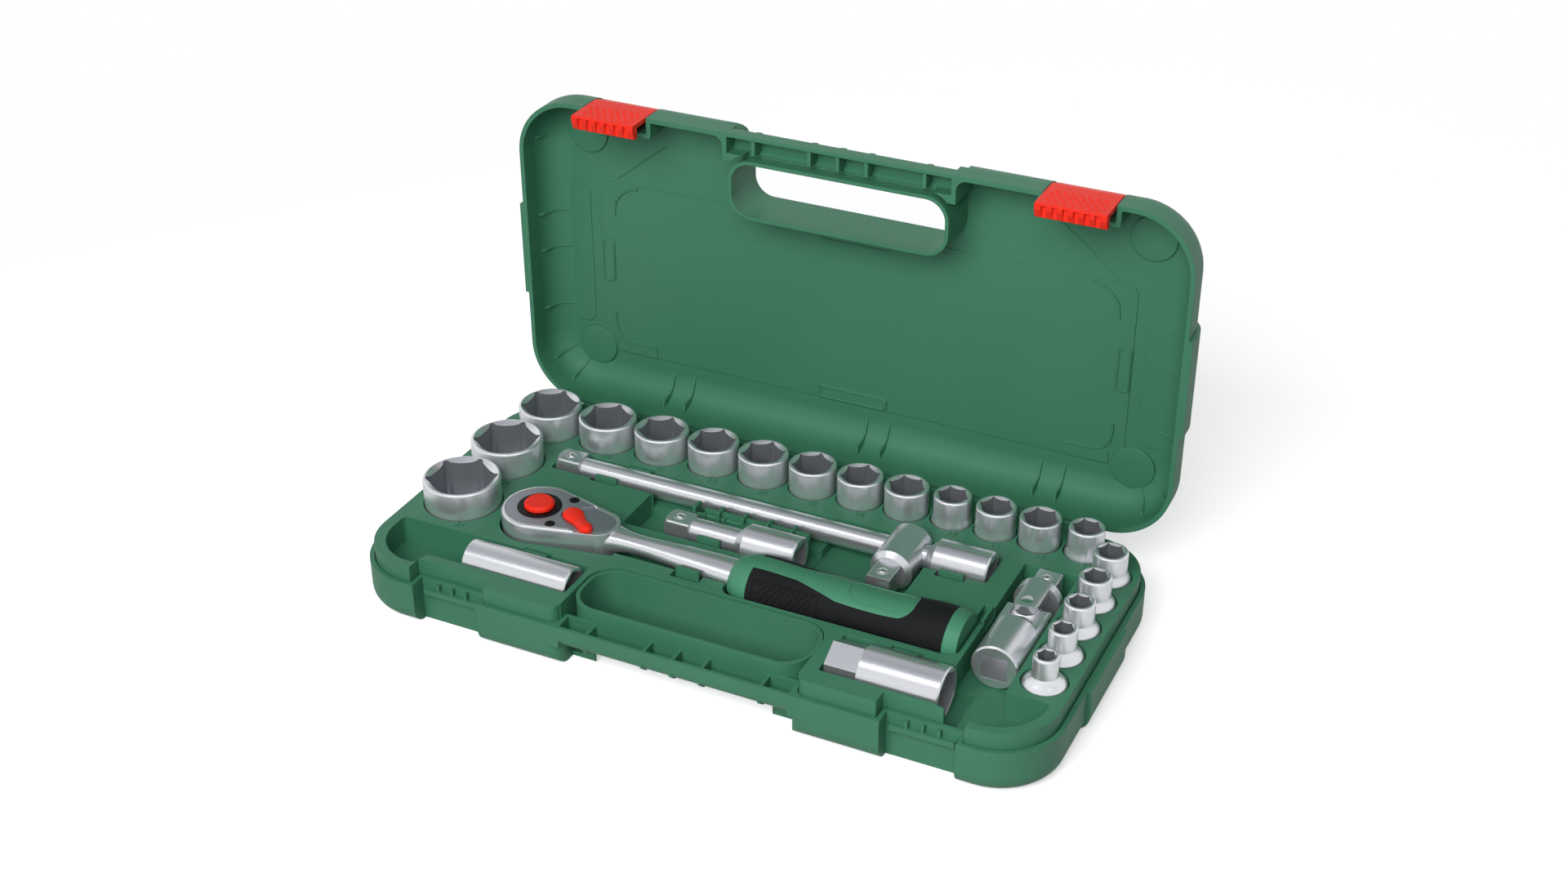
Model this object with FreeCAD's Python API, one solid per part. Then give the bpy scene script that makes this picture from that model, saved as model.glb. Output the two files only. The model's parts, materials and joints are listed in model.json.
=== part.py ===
import FreeCAD, Part
import math
import os

# A half-inch socket wrench set in a hinged carrying case that stands open.
# Millimetres. The origin is the middle of the base's underside, X runs along the case,
# -Y is the handle side and Z is up. The lid stands upright behind the base on its hinge stop.

V = FreeCAD.Vector

# Square drive and the small clearances that every fit shares
drive_square = 12.7
drive_clearance = 0.15
square_corner = 1.2
square_lead = 0.4
through_bore_share = 0.42
running_gap = 0.05
slide_gap = 0.15
seat_gap = 0.3
pocket_gap = 0.6

# Sockets in the order they stand, left column, back row and right column:
# size across the flats and outside diameter of each
sockets = (
    (30, 39.0), (32, 41.0),
    (27, 35.0), (24, 32.0), (22, 30.0), (21, 28.0), (20, 27.4), (19, 25.6),
    (18, 24.6), (17, 23.6), (14, 20.0), (15, 21.0), (16, 21.6), (13, 18.6),
    (12, 17.6), (11, 16.4), (10, 15.4), (9, 13.8), (8, 12.6),
)
left_count = 2
right_count = 5
long_count = 3
corner_first_count = 9
large_socket_length = 42.0
socket_length = 38.0
socket_rise = 15.2
drive_end_diameter = 22.0
drive_band_height = 21.5
flare_height = 6.0
socket_chamfer = 0.8
socket_lead_depth = 1.2
hex_depth_base = 10.0
hex_depth_per_size = 0.4
square_depth = 15.0

# Long bar with its sliding T-head
bar_length = 250.0
bar_diameter = 12.0
bar_square_length = 14.0
female_diameter = 22.0
female_length = 29.0
female_taper = 5.0
t_head_diameter = 23.0
t_head_back = 10.0
t_head_front = 22.0
t_head_chamfer = 1.3
t_square_length = 15.0
t_head_from_bar_end = 47.0
t_head_slide_room = 30.0

# Short extension
short_length = 75.0
short_diameter = 13.5

# Detent balls in the square drives
ball_radius = 2.4
ball_proud = 0.9
ball_from_tip = 6.5

# Universal joint
joint_diameter = 24.0
joint_female_length = 44.0
joint_male_length = 36.0
joint_ear_radius = 6.2
joint_block_size = 13.0
joint_block_round = 0.68
joint_pin_inset = 1.0
joint_shoulder = 15.0
joint_pin_radius = 3.0
joint_square_length = 15.0

# Spark-plug sockets
plug_small_size = 16.0
plug_small_diameter = 21.0
plug_small_length = 60.0
plug_large_size = 21.0
plug_large_diameter = 26.6
plug_large_length = 58.0
plug_hex_length = 16.0
plug_hex_flats = 22.0
plug_hex_depth = 12.0
plug_bore_wall = 2.0
insert_wall = 2.6
insert_length = 16.0

# Ratchet
head_radius = 20.0
head_height = 20.5
head_edge_round = 3.0
rim_round = 1.5
cover_thickness = 1.6
cover_margin = 2.0
lever_step = 0.9
lever_room_gap = 0.6
cover_tail = 46.0
tail_half_width = 9.0
tail_round_share = 1.2
tail_lift_start = 29.0
tail_lift = 9.0
tail_lift_past = 5.0
gear_teeth = 72
gear_radius = 13.6
tooth_depth = 0.9
gear_height = 9.0
gear_journal_radius = 10.4
gear_hub_radius = 11.4
drive_length = 15.5
tooth_gap = 0.3
pawl_pivot_from_drive = 20.0
pawl_swing = 14.0
pawl_height = 8.0
pawl_boss_radius = 4.2
pawl_reach_angle = 32.0
pawl_room = 0.6
pawl_back_inset = 3.0
lever_swing = 70.0
lever_length = 19.0
lever_rise = 3.4
lever_boss_radius = 5.6
lever_half_width = 4.6
lever_tip_half_width = 3.2
lever_tip_round = 3.0
lever_shaft_radius = 3.4
button_radius = 8.0
button_rise = 2.6
button_skirt = 2.8
button_chamfer = 1.2
hub_rise = 0.6
pin_floor = 3.0
button_travel = 2.0
release_pin_radius = 2.0
screw_radius = 2.0
screw_shaft_radius = 1.76
screw_head_height = 1.0
screw_recess = 0.5
screw_recess_flats = 2.0
screw_post_wall = 0.8
screw_offset_x = 13.5
screw_offset_y = 12.4
screw_length = 8.0
shank_width = 16.5
shank_height = 11.5
shank_swell = 1.0
shank_root = 20.0
shank_root_width = 19.0
shank_root_height = 15.0
shank_root_drop = 9.0
shank_waist = 34.0
head_wall = 3.6
pawl_room_half = 17.0
tang_radius = 5.0
tang_length = 70.0
handle_start_from_drive = 114.0
handle_length = 123.0
handle_width = 33.0
handle_height = 26.0
grip_thickness = 2.4
grip_start = 12.0
grip_end_margin = 7.0
panel_neck_half_width = 5.5
panel_half_width = 10.5
panel_neck_end = 36.0
panel_start = 58.0
panel_end = 97.0
panel_bend_round = 14.0
panel_end_round = 7.0

# Tray levels and lines: the places of the tools over the tray
tray_rise = 8.5
tray_skin = 1.8
tray_edge_round = 6.0
tray_gap = 0.5
pocket_wall = 0.8
edge_margin = 5.0
back_margin = 6.5
right_margin = 3.5
row_shift = 2.5
row_corner_angle = 42.0
column_gap = 4.6
bar_end_gap = 5.0
joint_left_gap = 16.5
ratchet_end_gap = 7.0
joint_right_gap = 3.0
bar_line = 36.0
bar_level = 31.0
short_line = 7.0
short_level = 31.0
short_from_bar_end = 82.0
ratchet_line = -22.5
ratchet_from_bar_end = 22.0
shank_level = 34.5
handle_level = 32.0
plug_line = -62.5
plug_small_level = 29.0
plug_large_level = 28.0
plug_small_from_bar_end = 5.0
plug_large_end_gap = 1.5
joint_line = 7.0
joint_level = 30.0
trough_room = 3.5
end_room = 1.3
thumb_room = 21.0
short_room = 9.0
large_plug_room = 8.0
joint_front_room = 10.0
joint_back_room = 6.0

# Clips that hold the tools in the tray, and the ribbed bracket behind the short extension
clip_width = 13.0
clip_thickness = 1.6
clip_gap = 0.5
clip_rise = 1.2
shank_clip_rise = 3.5
notch_side_room = 1.5
notch_depth = 3.5
notch_drop = 5.0
bar_clip_from_start = 45.0
bar_clip_from_end = 17.0
shank_clip_from_handle = 22.0
short_clip_from_start = 27.0
plug_clip_from_start = 31.0
joint_clip_from_middle = 9.0
bracket_start = 13.0
bracket_length = 60.0
bracket_thickness = 2.0
bracket_rise = 2.0
bracket_gap = 4.2
bracket_rib = 1.4
bracket_rib_depth = 2.6
bracket_rib_count = 6

# Case shells
tray_depth = 176.0
wall = 2.5
base_height = 24.5
lid_depth = 29.0
tray_corner = 30.0
base_edge_round = 9.0
lid_edge_round = 18.0
rim_gap = 0.3
belt_depth = 2.0
belt_length = 54.0

# Carrying handle and the hand aperture behind it
aperture_width = 124.0
aperture_depth = 34.0
aperture_corner = 13.5
bar_depth = 13.0
bar_height = 12.0
bar_wall = 2.0
collar_wall = 2.0
collar_rise = 7.5
nest_gap = 0.5
handle_end_round = 8.0
rib_thickness = 2.0
rib_drop = 1.0
rib_offsets = (0.0, 15.8, -15.8, 47.3, -47.3)

# Latches on the lid's front edge
latch_from_end = 60.25
latch_width = 36.5
latch_side_gap = 0.5
recess_depth = 9.0
recess_corner = 1.5
latch_plate = 2.5
latch_below_rim = 13.0
latch_pivot_above_rim = 19.5
latch_pivot_depth = 5.5
latch_eye_radius = 2.8
latch_pin_radius = 1.2
latch_bend_drop = 7.0
catch_depth = 3.2
catch_side_gap = 2.0
catch_rib = 1.6
catch_top_drop = 5.0
catch_height = 3.0
latch_lip_height = 3.0
latch_lip_clear = 1.0
comb_count = 6
comb_pitch = 5.4
comb_width = 2.6
comb_skin = 1.2

# Hinge
hinge_offset = 6.5
knuckle_radius = 4.5
hinge_pin_radius = 1.5
hinge_spacing = 110.0
lid_knuckle_length = 24.0
base_knuckle_length = 12.0
knuckle_gap = 0.4

# Lid furniture
lid_disc_radius = 12.0
lid_disc_rise = 0.8
lid_disc_from_end = 28.5
lid_disc_from_side = 25.5
gusset_reach = 8.0
gusset_thickness = 1.6
end_gussets = (-72.0, -16.0, 6.0, 59.0)
corner_gusset_angles = (30.0, 60.0)
panel_rise = 0.5
panel_from_end = 34.0
panel_from_back = 24.5
panel_front = -38.0
panel_corner = 6.0
tab_rise = 1.0
tab_width = 8.0
tab_length = 26.0
tab_middle = 10.0
centre_tab_length = 41.0
corner_tab_length = 25.0
tab_corner = 1.5
end_panel_front = -33.0
end_panel_back = 52.0
end_panel_from_end = 27.5
end_panel_depth = 16.0
end_panel_rise = 0.4

# The sockets' columns and row
socket_diameter = dict(sockets)
sizes = [size for size, diameter in sockets]
left_column = sizes[:left_count]
back_row = sizes[left_count:-right_count]
right_column = sizes[-right_count:]
long_sizes = sizes[:long_count]
corner_first_sizes = sizes[-corner_first_count:]
largest_socket = max(socket_diameter.values())

# Lengths that follow from the chain of tools along the case: the longer of the bar and the ratchet sets it
ratchet_reach = ratchet_from_bar_end + handle_start_from_drive + handle_length
tool_reach = max(bar_length + joint_left_gap, ratchet_reach + ratchet_end_gap)
tray_length = (
    edge_margin + largest_socket + bar_end_gap + tool_reach
    + joint_diameter + joint_right_gap + drive_end_diameter + right_margin
)
case_length = tray_length + 2 * (wall + tray_gap)
case_depth = tray_depth + 2 * (wall + tray_gap)
case_corner = tray_corner + wall + tray_gap
tray_half_x = tray_length / 2
tray_half_y = tray_depth / 2
case_half_x = case_length / 2
case_half_y = case_depth / 2
tray_top = base_height + tray_rise
socket_top = tray_top + socket_rise
bar_start = -tray_half_x + edge_margin + largest_socket + bar_end_gap
bar_end = bar_start + bar_length
joint_x = bar_start + tool_reach + joint_diameter / 2
drive_x = bar_start + ratchet_from_bar_end
t_head_x = bar_end - t_head_from_bar_end
short_start = bar_start + short_from_bar_end
bar_front = -case_half_y
aperture_front = bar_front + bar_depth
aperture_back = aperture_front + aperture_depth
latch_x = case_half_x - latch_from_end
recess_half = latch_width / 2 + latch_side_gap
recess_y = -case_half_y + recess_depth
hinge_y = case_half_y + hinge_offset
hinge_z = base_height + rim_gap / 2
lid_rim = base_height + rim_gap
handle_start = drive_x + handle_start_from_drive
square_hole = drive_square + 2 * drive_clearance


# Drawing helpers

def at(plane, u, v, w):
    """Point of a drawing plane: xy at height w, yz at length w, xz at depth w."""
    if plane == "xy":
        return V(u, v, w)
    if plane == "yz":
        return V(w, u, v)
    return V(u, w, v)


def outline(corners, w=0.0, plane="xy"):
    """Face through corners (u, v, radius), each corner rounded by its own radius."""
    points = [at(plane, u, v, w) for u, v, radius in corners]
    count = len(points)
    starts, middles, ends = [], [], []
    for i in range(count):
        back = (points[i - 1] - points[i]).normalize()
        onward = (points[(i + 1) % count] - points[i]).normalize()
        half = back.getAngle(onward) / 2
        radius = corners[i][2]
        reach = radius / math.tan(half)
        starts.append(points[i] + back * reach)
        ends.append(points[i] + onward * reach)
        bisector = (back + onward).normalize() if radius else back
        middles.append(points[i] + bisector * (radius / math.sin(half) - radius))
    edges = []
    for i in range(count):
        if corners[i][2]:
            edges.append(Part.Arc(starts[i], middles[i], ends[i]).toShape())
        following = starts[(i + 1) % count]
        if ends[i].distanceToPoint(following) > 1e-6:
            edges.append(Part.LineSegment(ends[i], following).toShape())
    return Part.Face(Part.Wire(edges))


def rectangle(x0, x1, y0, y1, radius=0.0):
    return [(x1, y1, radius), (x0, y1, radius), (x0, y0, radius), (x1, y0, radius)]


def prism(corners, low, high, plane="xy"):
    """Solid of an outline between two levels along the plane's normal."""
    return outline(corners, low, plane).extrude(at(plane, 0.0, 0.0, high - low))


def block(x0, x1, y0, y1, z0, z1):
    return Part.makeBox(x1 - x0, y1 - y0, z1 - z0, V(x0, y0, z0))


def disc(x, y, radius, z0, z1):
    return Part.makeCylinder(radius, z1 - z0, V(x, y, z0))


def rod_x(x0, x1, y, z, radius):
    return Part.makeCylinder(radius, x1 - x0, V(x0, y, z), V(1, 0, 0))


def turned(profile):
    """Solid turned about Z from (radius, height) points that run up from the axis and back to it."""
    points = [V(r, 0, z) for r, z in profile]
    face = Part.Face(Part.makePolygon(points + points[:1]))
    return face.revolve(V(0, 0, 0), V(0, 0, 1), 360)


def hexagon(flats, turn):
    radius = flats / 2 / math.cos(math.pi / 6)
    angles = [math.radians(turn + 60 * i) for i in range(6)]
    return [(radius * math.cos(a), radius * math.sin(a), 0.0) for a in angles]


def lie_along_x(shape, x, y, z):
    """Lay a solid that stands on Z down, its foot at (x, y, z) and its top towards +X."""
    shape = shape.copy()
    shape.rotate(V(0, 0, 0), V(0, 1, 0), 90)
    shape.translate(V(x, y, z))
    return shape


def joined(shapes):
    return shapes[0].fuse(shapes[1:]).removeSplitter()


# Square drives and their balls

def ball_seat(x, y, z):
    return Part.makeSphere(ball_radius + running_gap, V(x, y, z))


def ball(x, y, z):
    return Part.makeSphere(ball_radius, V(x, y, z))


ball_sink = drive_square / 2 + ball_proud - ball_radius


# Sockets

def socket_height(size):
    return large_socket_length if size in long_sizes else socket_length


def socket(size):
    """Six-point socket that stands on its drive end, hexagon up, on the Z axis."""
    radius = socket_diameter[size] / 2
    length = socket_height(size)
    foot = max(radius, drive_end_diameter / 2)
    c = socket_chamfer
    profile = [(0, 0), (foot - c, 0), (foot, c)]
    if foot > radius:
        profile += [(foot, drive_band_height), (radius, drive_band_height + flare_height)]
    profile += [(radius, length - c), (radius - c, length), (0, length)]
    body = turned(profile)
    turn = 30 if size in corner_first_sizes else 0
    hex_floor = length - hex_depth_base - hex_depth_per_size * size
    lead = size / 2 / math.cos(math.pi / 6) + socket_chamfer / 4
    cutters = [
        prism(hexagon(size, turn), hex_floor, length + 1),
        block(-square_hole / 2, square_hole / 2, -square_hole / 2, square_hole / 2, -1, square_depth),
        disc(0, 0, min(size, drive_square) * through_bore_share, 0, length),
        Part.makeCone(lead - 2, lead, socket_lead_depth, V(0, 0, length - socket_lead_depth)),
    ]
    return body.cut(cutters)


def socket_bottom(size):
    return socket_top - socket_height(size)


def socket_foot_diameter(size):
    return max(socket_diameter[size], drive_end_diameter)


def socket_places():
    """Place (x, y) of each socket: the left column, the row along the back and the right column."""
    places = {}
    back_edge = tray_half_y - back_margin
    feet = [socket_foot_diameter(size) for size in back_row]
    pitch = drive_end_diameter + 2 * pocket_gap + pocket_wall
    column_x = tray_half_x - right_margin - drive_end_diameter / 2
    row_start = -tray_half_x + edge_margin + largest_socket / 2 + row_shift
    row_end = column_x - pitch * math.cos(math.radians(row_corner_angle))
    gap = (row_end - row_start - sum(feet) + feet[0] / 2 + feet[-1] / 2) / (len(feet) - 1)
    x = row_start
    for i, size in enumerate(back_row):
        places[size] = (x, back_edge - socket_diameter[size] / 2)
        if i + 1 < len(feet):
            x += feet[i] / 2 + gap + feet[i + 1] / 2
    y = places[back_row[-1]][1] - pitch * math.sin(math.radians(row_corner_angle))
    for size in right_column:
        places[size] = (column_x, y)
        y -= pitch
    y = places[back_row[0]][1]
    before = back_row[0]
    for size in left_column:
        y -= (socket_diameter[before] + socket_diameter[size]) / 2 + column_gap
        places[size] = (-tray_half_x + edge_margin + largest_socket / 2, y)
        before = size
    return places


socket_place = socket_places()


# Extensions and T-head

def extension(length, diameter, square_length):
    """Extension bar that stands on its male square, female end up."""
    half = drive_square / 2
    neck = length - female_length
    r = diameter / 2
    big = female_diameter / 2
    c = socket_chamfer
    shaft = turned([
        (0, square_length), (r - c, square_length), (r, square_length + c), (r, neck - female_taper),
        (big, neck), (big, length - c), (big - c, length), (0, length),
    ])
    square = prism(rectangle(-half, half, -half, half, square_corner), 0, square_length)
    lead = half + square_lead
    high = square_length + 1
    chamfer = turned([(0, 0), (lead, 0), (lead + high, high), (0, high)])
    hole = square_hole / 2
    mouth = block(-hole, hole, -hole, hole, length - square_depth, length + 1)
    return joined([shaft, square.common(chamfer)]).cut(mouth)


def long_bar():
    upright = extension(bar_length, bar_diameter, bar_square_length)
    body = lie_along_x(upright, bar_start, bar_line, bar_level)
    return body.cut(ball_seat(bar_start + ball_from_tip, bar_line, bar_level + ball_sink))


def long_bar_ball():
    return ball(bar_start + ball_from_tip, bar_line, bar_level + ball_sink)


def short_extension():
    upright = extension(short_length, short_diameter, bar_square_length)
    body = lie_along_x(upright, short_start, short_line, short_level)
    return body.cut(ball_seat(short_start + ball_from_tip, short_line, short_level + ball_sink))


def short_extension_ball():
    return ball(short_start + ball_from_tip, short_line, short_level + ball_sink)


t_head_tip = bar_line - t_head_front - t_square_length


def t_head():
    """Cross head that slides on the bar, with a square drive towards the front."""
    r = t_head_diameter / 2
    c = t_head_chamfer
    low, high = bar_line - t_head_front, bar_line + t_head_back
    tall = high - low
    body = turned([(0, 0), (r - 2 * c, 0), (r, 2 * c), (r, tall - c), (r - c, tall), (0, tall)])
    body.rotate(V(0, 0, 0), V(1, 0, 0), -90)
    body.translate(V(t_head_x, low, bar_level))
    half = drive_square / 2
    section = rectangle(t_head_x - half, t_head_x + half, bar_level - half, bar_level + half, square_corner)
    square = prism(section, t_head_tip, low + 1, "xz")
    bore_radius = bar_diameter / 2 + slide_gap
    bore = rod_x(t_head_x - t_head_diameter, t_head_x + t_head_diameter, bar_line, bar_level, bore_radius)
    seat = ball_seat(t_head_x, t_head_tip + ball_from_tip, bar_level + ball_sink)
    return joined([body, square]).cut([bore, seat])


def t_head_ball():
    return ball(t_head_x, t_head_tip + ball_from_tip, bar_level + ball_sink)


# Universal joint along Y, its middle at (joint_x, joint_line, joint_level)

def joint_frame(shape):
    """Carry a solid from the joint's own frame, female end towards -Z, to its place along Y."""
    shape = shape.copy()
    shape.rotate(V(0, 0, 0), V(1, 0, 0), -90)
    shape.translate(V(joint_x, joint_line, joint_level))
    return shape


def yoke(length, hole_axis):
    """Forked barrel below the pin centre: two ears along hole_axis round a pin."""
    r = joint_diameter / 2
    inner = joint_block_size / 2 + slide_gap
    c = socket_chamfer
    foot = -joint_shoulder - 1
    barrel = turned([(0, -length), (r - c, -length), (r, c - length), (r, foot + 1), (0, foot + 1)])
    tip = Part.makeCylinder(joint_ear_radius, 4 * r, V(-2 * r, 0, 0), V(1, 0, 0))
    ears = block(-2 * r, 2 * r, -joint_ear_radius, joint_ear_radius, foot, 0)
    fork = ears.fuse(tip).common(Part.makeCylinder(r, 4 * r, V(0, 0, -2 * r)))
    gap = Part.makeBox(2 * inner, 4 * r, 2 * joint_shoulder, V(-inner, -2 * r, -joint_shoulder))
    bore = Part.makeCylinder(joint_pin_radius + running_gap, 4 * r, V(-2 * r, 0, 0), V(1, 0, 0))
    shape = barrel.fuse(fork.cut(gap)).removeSplitter().cut(bore)
    if hole_axis == "y":
        shape.rotate(V(0, 0, 0), V(0, 0, 1), 90)
    return shape


def joint_female():
    hole = square_hole / 2
    mouth = block(-hole, hole, -hole, hole, -joint_female_length - 1, square_depth - joint_female_length)
    return joint_frame(yoke(joint_female_length, "x").cut(mouth))


joint_tip = joint_line + joint_male_length


def joint_male():
    half = drive_square / 2
    barrel_length = joint_male_length - joint_square_length
    body = yoke(barrel_length, "y")
    square = prism(rectangle(-half, half, -half, half, square_corner), -joint_male_length, 1 - barrel_length)
    shape = joined([body, square])
    shape.rotate(V(0, 0, 0), V(0, 1, 0), 180)
    shape = joint_frame(shape)
    return shape.cut(ball_seat(joint_x, joint_tip - ball_from_tip, joint_level + ball_sink))


def joint_ball():
    return ball(joint_x, joint_tip - ball_from_tip, joint_level + ball_sink)


def joint_block():
    size = joint_block_size
    cube = Part.makeBox(size, size, size, V(-size / 2, -size / 2, -size / 2))
    holes = [
        Part.makeCylinder(joint_pin_radius, 2 * size, V(-size, 0, 0), V(1, 0, 0)),
        Part.makeCylinder(joint_pin_radius, 2 * size, V(0, -size, 0), V(0, 1, 0)),
    ]
    return joint_frame(cube.common(Part.makeSphere(size * joint_block_round)).cut(holes))


def joint_pins():
    """One through pin for the female yoke, crossed by two half pins for the male yoke."""
    r = joint_diameter / 2 - joint_pin_inset
    across = Part.makeCylinder(joint_pin_radius, 2 * r, V(-r, 0, 0), V(1, 0, 0))
    start = joint_pin_radius + seat_gap
    halves = [
        Part.makeCylinder(joint_pin_radius, r - start, V(0, start, 0), V(0, 1, 0)),
        Part.makeCylinder(joint_pin_radius, r - start, V(0, -r, 0), V(0, 1, 0)),
    ]
    return joint_frame(Part.makeCompound([across] + halves))


# Spark-plug sockets

def plug_socket(size, diameter, length, outside_hex):
    """Deep socket that stands on its drive end, open end up."""
    r = diameter / 2
    c = socket_chamfer
    foot = plug_hex_length if outside_hex else 0.0
    profile = [(0, foot), (r - c, foot), (r, foot + c), (r, length - c), (r - c, length), (0, length)]
    body = turned(profile)
    if outside_hex:
        crown = prism(hexagon(plug_hex_flats, 0), 0, foot + 1)
        body = joined([body, crown])
    hole = square_hole / 2
    cutters = [
        prism(hexagon(size, 0), length - plug_hex_depth, length + 1),
        disc(0, 0, plug_bore(size, diameter), square_depth + 2, length - plug_hex_depth + 1),
        block(-hole, hole, -hole, hole, -1, square_depth),
        disc(0, 0, drive_square * through_bore_share, 1, length),
    ]
    return body.cut(cutters)


def plug_bore(size, diameter):
    return min(size / 2, diameter / 2 - plug_bore_wall)


def plug_insert(size, diameter, length):
    """Rubber sleeve that grips the plug, pressed into the bore behind the hexagon."""
    top = length - plug_hex_depth
    outer = plug_bore(size, diameter)
    return disc(0, 0, outer - running_gap, top - insert_length, top).cut(
        disc(0, 0, outer - insert_wall, top - insert_length - 1, top + 1))


plug_small_x = bar_start + plug_small_from_bar_end
plug_large_x = joint_x - joint_diameter / 2 - plug_large_end_gap - plug_large_length


def lay_small_plug(shape):
    return lie_along_x(shape, plug_small_x, plug_line, plug_small_level)


def lay_large_plug(shape):
    return lie_along_x(shape, plug_large_x, plug_line, plug_large_level)


# Ratchet: levels from the pocket floor up
drive_tip_z = wall + seat_gap + tray_skin + seat_gap
head_bottom = drive_tip_z + drive_length
cover_seat = head_bottom + head_height
cover_top = cover_seat + cover_thickness
gear_bottom = cover_seat - pawl_room - gear_height
pawl_x = drive_x + pawl_pivot_from_drive
tail_x = drive_x + cover_tail


def teardrop(inset, low, high):
    """Round head that narrows to the shank, drawn in by inset."""
    r = head_radius - inset
    half = tail_half_width - inset
    far = tail_x - inset
    lean = math.asin((r - half) / (far - drive_x))
    touch_x, touch_y = drive_x + r * math.sin(lean), r * math.cos(lean)
    y = ratchet_line
    tip_round = half * tail_round_share
    wedge = [
        (touch_x, y + touch_y, 0), (drive_x, y, 0), (touch_x, y - touch_y, 0),
        (far, y - half, tip_round), (far, y + half, tip_round),
    ]
    return joined([disc(drive_x, y, r, low, high), prism(wedge, low, high)])


def ellipse_x(x, z, width, height):
    curve = Part.Ellipse(V(0, 0, 0), width / 2, height / 2)
    wire = Part.Wire([curve.toShape()])
    upright = FreeCAD.Rotation(V(0, 1, 0), V(0, 0, 1), V(1, 0, 0))
    wire.Placement = FreeCAD.Placement(V(x, ratchet_line, z), upright)
    return wire


def screw_places():
    return [(drive_x + screw_offset_x, ratchet_line + side * screw_offset_y) for side in (1, -1)]


def lever_room(low, high):
    """The fan that the thumb lever sweeps, run out past the tail of the head."""
    y = ratchet_line
    half = lever_boss_radius + lever_room_gap
    turn = math.radians(lever_swing / 2)
    root_x, root_y = pawl_x - half * math.sin(turn), half * math.cos(turn)
    far = 2 * cover_tail
    far_x, far_y = root_x + far * math.cos(turn), root_y + far * math.sin(turn)
    fan = [(root_x, y + root_y, 0), (root_x, y - root_y, 0), (far_x, y - far_y, 0), (far_x, y + far_y, 0)]
    return joined([disc(pawl_x, y, half, low, high), prism(fan, low, high)])


def ratchet_body():
    head = teardrop(0, head_bottom, cover_top)
    low_edges = [e for e in head.Edges if e.BoundBox.ZMax < head_bottom + 0.01]
    head = head.makeFillet(head_edge_round, low_edges)
    high_edges = [e for e in head.Edges if e.BoundBox.ZMin > cover_top - 0.01]
    head = head.makeFillet(rim_round, high_edges)
    lift_end = tail_x + tail_lift_past
    lift = [(drive_x + tail_lift_start, head_bottom - 1, 0), (lift_end, head_bottom - 1, 0),
            (lift_end, head_bottom + tail_lift, 0)]
    head = head.cut(prism(lift, ratchet_line - head_radius, ratchet_line + head_radius, "xz"))
    head = head.cut([teardrop(cover_margin, cover_seat, cover_top + 1),
                     lever_room(cover_top - lever_step, cover_top + 1)])
    end_width, end_height = shank_width + 2 * shank_swell, shank_height + 2 * shank_swell
    shank = Part.makeLoft([
        ellipse_x(tail_x - shank_root, cover_seat - shank_root_drop, shank_root_width, shank_root_height),
        ellipse_x(tail_x, shank_level, shank_width + shank_swell, shank_height + shank_swell),
        ellipse_x(tail_x + shank_waist, shank_level, shank_width, shank_height),
        ellipse_x(handle_start + 1, handle_level + 1, end_width, end_height),
    ], True)
    tang = rod_x(handle_start - 2, handle_start + tang_length, ratchet_line, handle_level, tang_radius)
    y = ratchet_line
    room = gear_radius + pawl_room
    pawl_space = disc(pawl_x, y, pawl_boss_radius + pawl_room, gear_bottom - pawl_room, cover_seat + 1)
    swing = teardrop(head_wall, gear_bottom - pawl_room, cover_seat + 1)
    swing = swing.common(block(drive_x, pawl_x + 2, y - pawl_room_half, y + pawl_room_half, 0, cover_top))
    cutters = [
        disc(drive_x, y, room, gear_bottom - pawl_room, cover_seat + 1),
        disc(drive_x, y, gear_journal_radius + running_gap, head_bottom - 1, cover_seat),
        pawl_space,
        swing,
    ]
    body = joined([head, shank, tang]).cut(cutters)
    posts, holes = [], []
    for x, y in screw_places():
        post = disc(x, y, screw_radius + screw_post_wall, gear_bottom - 2, cover_seat)
        posts.append(post.cut(disc(drive_x, ratchet_line, room, 0, cover_top)))
        holes.append(disc(x, y, screw_shaft_radius, cover_seat - screw_length, cover_seat + 1))
    return joined([body] + posts).cut(holes)


def ratchet_cover():
    plate = teardrop(cover_margin + slide_gap, cover_seat, cover_top)
    y = ratchet_line
    cutters = [
        disc(drive_x, y, gear_hub_radius + slide_gap, cover_seat - 1, cover_top + 1),
        disc(pawl_x, y, lever_shaft_radius + slide_gap, cover_seat - 1, cover_top + 1),
    ]
    head_low = cover_top - screw_head_height
    for x, y in screw_places():
        cutters.append(disc(x, y, screw_shaft_radius, cover_seat - 1, cover_top + 1))
        cutters.append(disc(x, y, screw_radius + slide_gap, head_low, cover_top + 1))
    cutters.append(lever_room(cover_top - lever_step, cover_top + 1))
    return plate.cut(cutters)


def cover_screws():
    screws = []
    head_low = cover_top - screw_head_height
    for x, y in screw_places():
        low = cover_seat - screw_length + seat_gap
        shaft = disc(x, y, screw_shaft_radius - running_gap, low, cover_top - screw_head_height / 2)
        head = disc(x, y, screw_radius, head_low, cover_top)
        recess = prism(hexagon(screw_recess_flats, 0), cover_top - screw_recess, cover_top + 1)
        recess.translate(V(x, y, 0))
        screws.append(joined([shaft, head]).cut(recess))
    return Part.makeCompound(screws)


def gear_outline(extra):
    """Saw outline of the drive gear, drawn out by extra, with a gap on the pawl's centre line."""
    corners = []
    for i in range(gear_teeth):
        for share, radius in ((0.0, gear_radius - tooth_depth), (0.5, gear_radius)):
            angle = 2 * math.pi * (i + share) / gear_teeth
            reach = radius + extra
            corners.append(V(drive_x + reach * math.cos(angle), ratchet_line + reach * math.sin(angle), 0))
    return Part.Face(Part.makePolygon(corners + corners[:1]))


def gear_prism(extra, low, high):
    face = gear_outline(extra)
    face.translate(V(0, 0, low))
    return face.extrude(V(0, 0, high - low))


hub_top = cover_top + hub_rise
button_low = hub_top - button_skirt


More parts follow.
